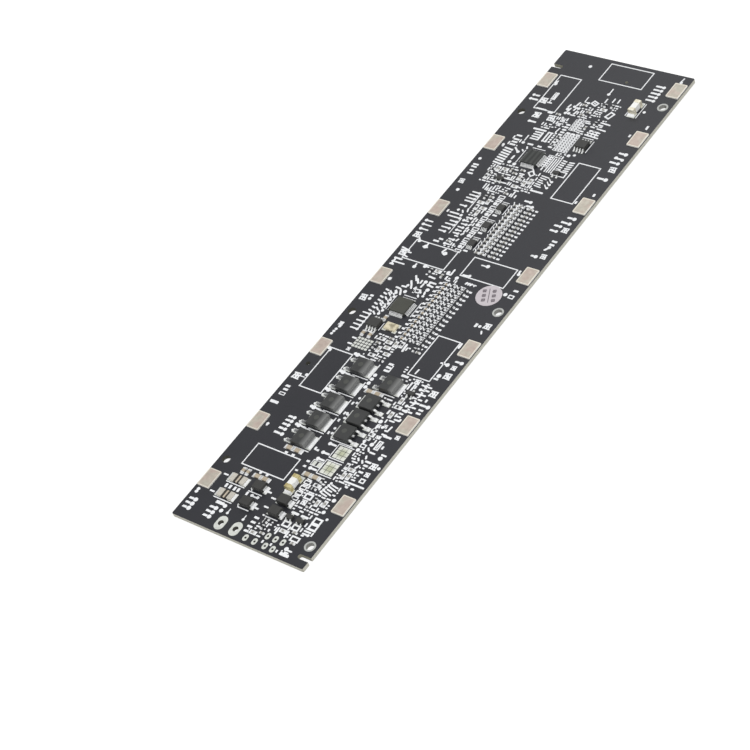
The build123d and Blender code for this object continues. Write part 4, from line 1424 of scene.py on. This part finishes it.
def far_marks():
    """Marks of the far end."""
    sheet = Sheet("printed_far_marks", INK, "solder_mask", keeps_clear=True)
    sheet.draw("word", (7, 199.8, 2, 0.9, 90), "words", (10.6, 201, 3, 0, 1.5, 4))
    for n in range(7):
        sheet.draw("bar", (10.5, 190.2 + 1.38 * n, 4, 0.85, -6), "dot", (12.3, 190 + 1.38 * n, 1))
    sheet.draw(
        "bar", (13.9, 199, 3.4, 0.8, -38), "dot", (15.2, 198.1), "bar", (16.6, 199.4, 1.6, 0.7, -40),
        (15, 194.8, 2.4, 0.9, 85), "dot", (15.1, 192.2, 1.6), (17.7, 191.7, 1.6),
        "bar", (17.4, 201.2, 1.6, 0.7, -60), "word", (10.5, 206.2, 4), "bar", (14, 206, 3.4, 0.6, 90),
        "dot", (14.2, 203.3), "word", (17.6, 203.3, 4), (21.9, 203.3),
    )
    for n in range(4):
        sheet.bar(17, 206.4 + 1.28 * n, 3.6, 0.75)
    sheet.draw(
        "bar", (18.9, 208.4, 4.8, 0.8, 90), (21, 208.9, 5.8, 0.8, 90), (22.4, 208.9, 5.8, 0.8, 90),
        (21.8, 206.5, 2.6, 0.7), (21.8, 211.4, 2.6, 0.7),
    )
    for n in range(5):
        sheet.dot(23.9, 206.8 + 1.25 * n, 1)
    for n in range(10):
        sheet.bar(26, 204.4 + 1.46 * n, 2, 0.95)
    for row in range(8):
        for column in range(5):
            sheet.ring(28.3 + 1.32 * column, 203.8 + 1.27 * row, 1.3, 1.12)
    for row in range(5):
        for column in range(3):
            sheet.ring(28.1 + 1.32 * column, 215.6 + 1.27 * row, 1.3, 1.12)
    for n in range(5):
        sheet.draw("bar", (36.2, 194.8 + 1.15 * n, 2.2, 0.7, -6), (39.4, 194.8 + 1.15 * n, 2.6, 0.7, 6))
    for n in range(6):
        sheet.draw("ring", (29, 194.6 + 1.1 * n, 1.3, 1.1), (30.2, 194.6 + 1.1 * n, 1.2, 1.1))
    for x in (31.4, 32.4, 33.4, 34.4):
        sheet.bar(x, 195.7, 8, 0.6, 90)
    sheet.draw(
        "bar", (37.6, 191.4, 6, 0.5), (37.6, 193.9, 6, 0.6), (40.6, 192.6, 3, 0.6, 90),
        "dot", (35.8, 202.5, 1.5), (37.9, 203.4, 1.2), "bar", (27.2, 191, 5, 0.5, -48), (16.5, 211.7, 6.2, 1),
        (10.8, 214.8, 3.8, 0.9), "dot", (9.4, 214.8, 1.3), "hatch", (10.5, 218.7, 3.6),
        "bar", (10.6, 218.6, 4.2, 0.8, -40), "hatch", (17.2, 218.8, 3.8), (22.4, 219.2, 2.4), (22.2, 216.6, 2),
        "bar", (23.6, 213.6, 3, 0.6, 80), (15, 221.4, 2.4, 0.9), (10.2, 222.2, 5, 0.9), (38, 213.2, 5, 0.45),
        (41.2, 209.2, 6.6, 0.4, 90),
    )
    for x, y, length in (
        (38.4, 214.6, 6.6), (38.2, 216, 5.6), (38.4, 217.3, 5.2), (40.2, 219, 4.4), (36, 219.4, 2.2),
        (40, 222.5, 4.8), (38.6, 221.2, 2.4),
    ):
        sheet.bar(x, y, length, 0.75, -4)
    sheet.draw(
        "bar", (36.4, 216.2, 3.2, 0.6, 90), (38, 216.2, 3.2, 0.6, 90), (39.6, 216.2, 3.2, 0.6, 90),
        (22.6, 202, 6, 0.4), (17.7, 196.3, 7.4, 0.4, 90), "tag", (55, 210, 3, 1, 1.7),
        "bar", (55.6, 207.2, 4.4, 0.9), "dot", (54.2, 207.4, 1.5), (57.2, 206.9, 1.3),
        "tag", (54.4, 204.7, 4, 1, 1.6), "hatch", (56.5, 201.2, 3.4), "tag", (54.6, 195.6, 4, 1, 1.8),
        (4.4, 228.6, 3, 0.95, 1.4, 0, -1), (4.6, 226.3, 4, 0.95, 1.4, 0, -1), "dot", (7.5, 236.8, 1.7),
        "bar", (7.6, 237.8, 2.2, 0.7, 80), "hatch", (8.4, 226.9, 3.6), "bar", (10.8, 230.4, 4.4, 0.55, 90),
        (11.6, 230.4, 4.4, 0.55, 90), (12.2, 230.4, 4.4, 0.55, 90),
    )
    for n in range(4):
        sheet.bar(11.5, 228.8 + 1.1 * n, 2, 0.4)
    sheet.draw(
        "bar", (11.4, 226.4, 2.4, 0.7), (11.2, 227.4, 1.6, 0.5, 90), (32, 239.6, 3.2, 0.6, 90),
        "dot", (31.9, 237.8), "bar", (33, 234.2, 2.6, 0.7, 90), (35.9, 235.2, 2.6, 0.7, 90),
        (38.1, 235.4, 2.6, 0.7, 90), "ring", (39, 227.2, 3.8, 2.6, 70), (29.5, 231.5, 3, 2.4, -20),
        "bar", (29.5, 231.5, 1.6, 0.5, -20), (25, 232.6, 3, 0.5, 90), (26, 231.1, 2.2, 0.5),
        "dot", (26.9, 230.9, 1.2), "bar", (20.4, 227.2, 2.2, 0.8, 78), (21.5, 225.2, 2.6, 0.8, 78),
        (23.3, 229.2, 2.6, 0.8, 78), (23.6, 226.4, 2.4, 0.8, 78), (24.8, 224.6, 2.6, 0.8, 78),
        "dot", (20.6, 225.4), (22.6, 227.4), (22.4, 223.4), (24.8, 227), (21, 223.2),
        "bar", (44.7, 233.2, 8.4, 0.4, 90), (49.5, 233.2, 8.4, 0.4, 90), "dot", (51, 233, 1.3),
    )
    for n in range(5):
        sheet.tag(48.9, 239.7 + 2 * n, 4)
    sheet.draw(
        "dot", (15.6, 250, 1.5), "bar", (55.9, 253.8, 2.4, 0.6, 80), "dot", (56, 252.3, 1.3),
        "word", (56.8, 225.6, 3, 1, 90),
    )
    for y in LEFT_TABS[1:]:
        sheet.word(7.3, y, 2, 0.9, 90)
    for y in RIGHT_TABS[1:6]:
        sheet.word(52.7, y + 1, 2, 0.9, 90)
    sheet.finished()


def sticker_marks():
    """Grey blocks of strokes either side of a line on the inspection sticker, none of them a letter."""
    sheet = Sheet("sticker_marks", GREY_INK, "sticker_paper")
    x, y = STICKER
    # Height of the sticker, and the slant of its text lines
    lift, lean = 0.1, -64
    along = Vector((math.cos(math.radians(lean)), math.sin(math.radians(lean))))
    aside = Vector((-along.y, along.x))
    sheet.lay("bar", x, y, 7.0, 0.3, lean, lift)
    for side in (-1, 1):
        for n in (-1, 0, 1):
            middle = Vector((x, y)) + along * (2.3 * n + 0.3 * side) + aside * 1.9 * side
            for k in (-1, 0, 1):
                cross = middle + along * 0.52 * k
                sheet.lay("bar", cross.x, cross.y, 1.7 - 0.3 * abs(k), 0.34, lean + 90, lift)
                level = middle + aside * 0.5 * k
                sheet.lay("bar", level.x, level.y, 1.6, 0.32, lean, lift)
    sheet.finished()


# Crowded stretches: near left corner, far right corner, chips tried, and the share of strokes printed
NEAR_CROWDS = [
    (30.4, 3.4, 38.4, 13.6, 24, 0.34), (38.6, 20.6, 52.4, 35, 70, 0.9), (45.6, 35.4, 52.4, 52, 90, 0.7),
    (45.4, 49, 52.4, 66, 10, 0.3), (45.6, 65, 50.4, 70.4, 40, 0.4), (45.2, 70.6, 50.4, 85.4, 50, 0.8),
    (40.4, 72, 45.2, 75, 10, 0.9), (46.8, 35.6, 54.4, 45, 80, 0.9), (33, 68.8, 45, 71.4, 10, 0.6),
    (19.6, 86.4, 31, 98.6, 110, 1), (45.4, 5, 49.6, 12, 20, 0.6), (39.5, 86, 41.5, 90, 0, 0.6),
    (40.5, 82.6, 51, 86, 20, 0.8), (24.6, 95, 42, 98.4, 40, 0.8), (48, 3, 52, 12, 20, 0.6),
    (38.8, 9, 49.6, 21, 30, 0.6), (48.6, 12.4, 55, 17, 10, 0.6),
]
FAR_CROWDS = [
    (18.6, 129.6, 26.4, 134.4, 20, 0.45), (21.8, 143, 25.2, 176, 160, 0.95),
    (15.8, 144.6, 21.8, 161.6, 40, 0.5), (15.8, 161.8, 21.8, 175.4, 60, 0.6),
    (12.5, 175.5, 29, 179.8, 10, 0.5), (26, 128.5, 33, 133.5, 10, 0.5), (9, 179.6, 33.6, 190.8, 90, 1),
    (27, 191, 30.4, 202.6, 20, 0.85), (30.4, 199.8, 35, 202.8, 10, 0.7), (27.6, 203, 34.6, 222.4, 60, 0.95),
    (20, 222.6, 26.4, 228, 6, 0.9), (26.4, 222.6, 32.6, 227.6, 8, 1), (31.6, 225, 36.4, 233.2, 10, 1),
    (36, 228.9, 40.8, 233.8, 4, 1), (24, 226, 31.4, 230.4, 4, 0.7), (35, 217.6, 41, 224.6, 10, 0.7),
    (15, 213, 21.4, 222.6, 12, 0.8), (21, 214.6, 25, 222, 0, 0.8), (8, 200.6, 13.2, 206.6, 10, 0.8),
]


def crowded_stretches():
    """The stretches of the board that are packed with small chips, and the last column of both arrays."""
    near_prints = Sheet("crowded_near_marks", INK, "solder_mask")
    near = Bench("near")
    for n, area in enumerate(NEAR_CROWDS):
        crowd(near_prints, near, *area, seed=40 + n)
    near.column(38.8, LOWER_Y, LOWER_STEP, "resistor")
    near_prints.finished()
    near.finished()
    far_prints = Sheet("crowded_far_marks", INK, "solder_mask")
    far = Bench("far")
    for n, area in enumerate(FAR_CROWDS):
        crowd(far_prints, far, *area, seed=80 + n)
    far.column(38.6, UPPER_Y, UPPER_STEP, "capacitor")
    far_prints.finished()
    far.finished()


package_pads()
spare_footprints()
print_frames()
switch_marks()
near_marks()
middle_marks()
upper_marks()
far_marks()
sticker_marks()
crowded_stretches()

for pattern in PATTERNS.values():
    bpy.data.objects.remove(pattern)
bpy.data.objects.remove(STROKE)
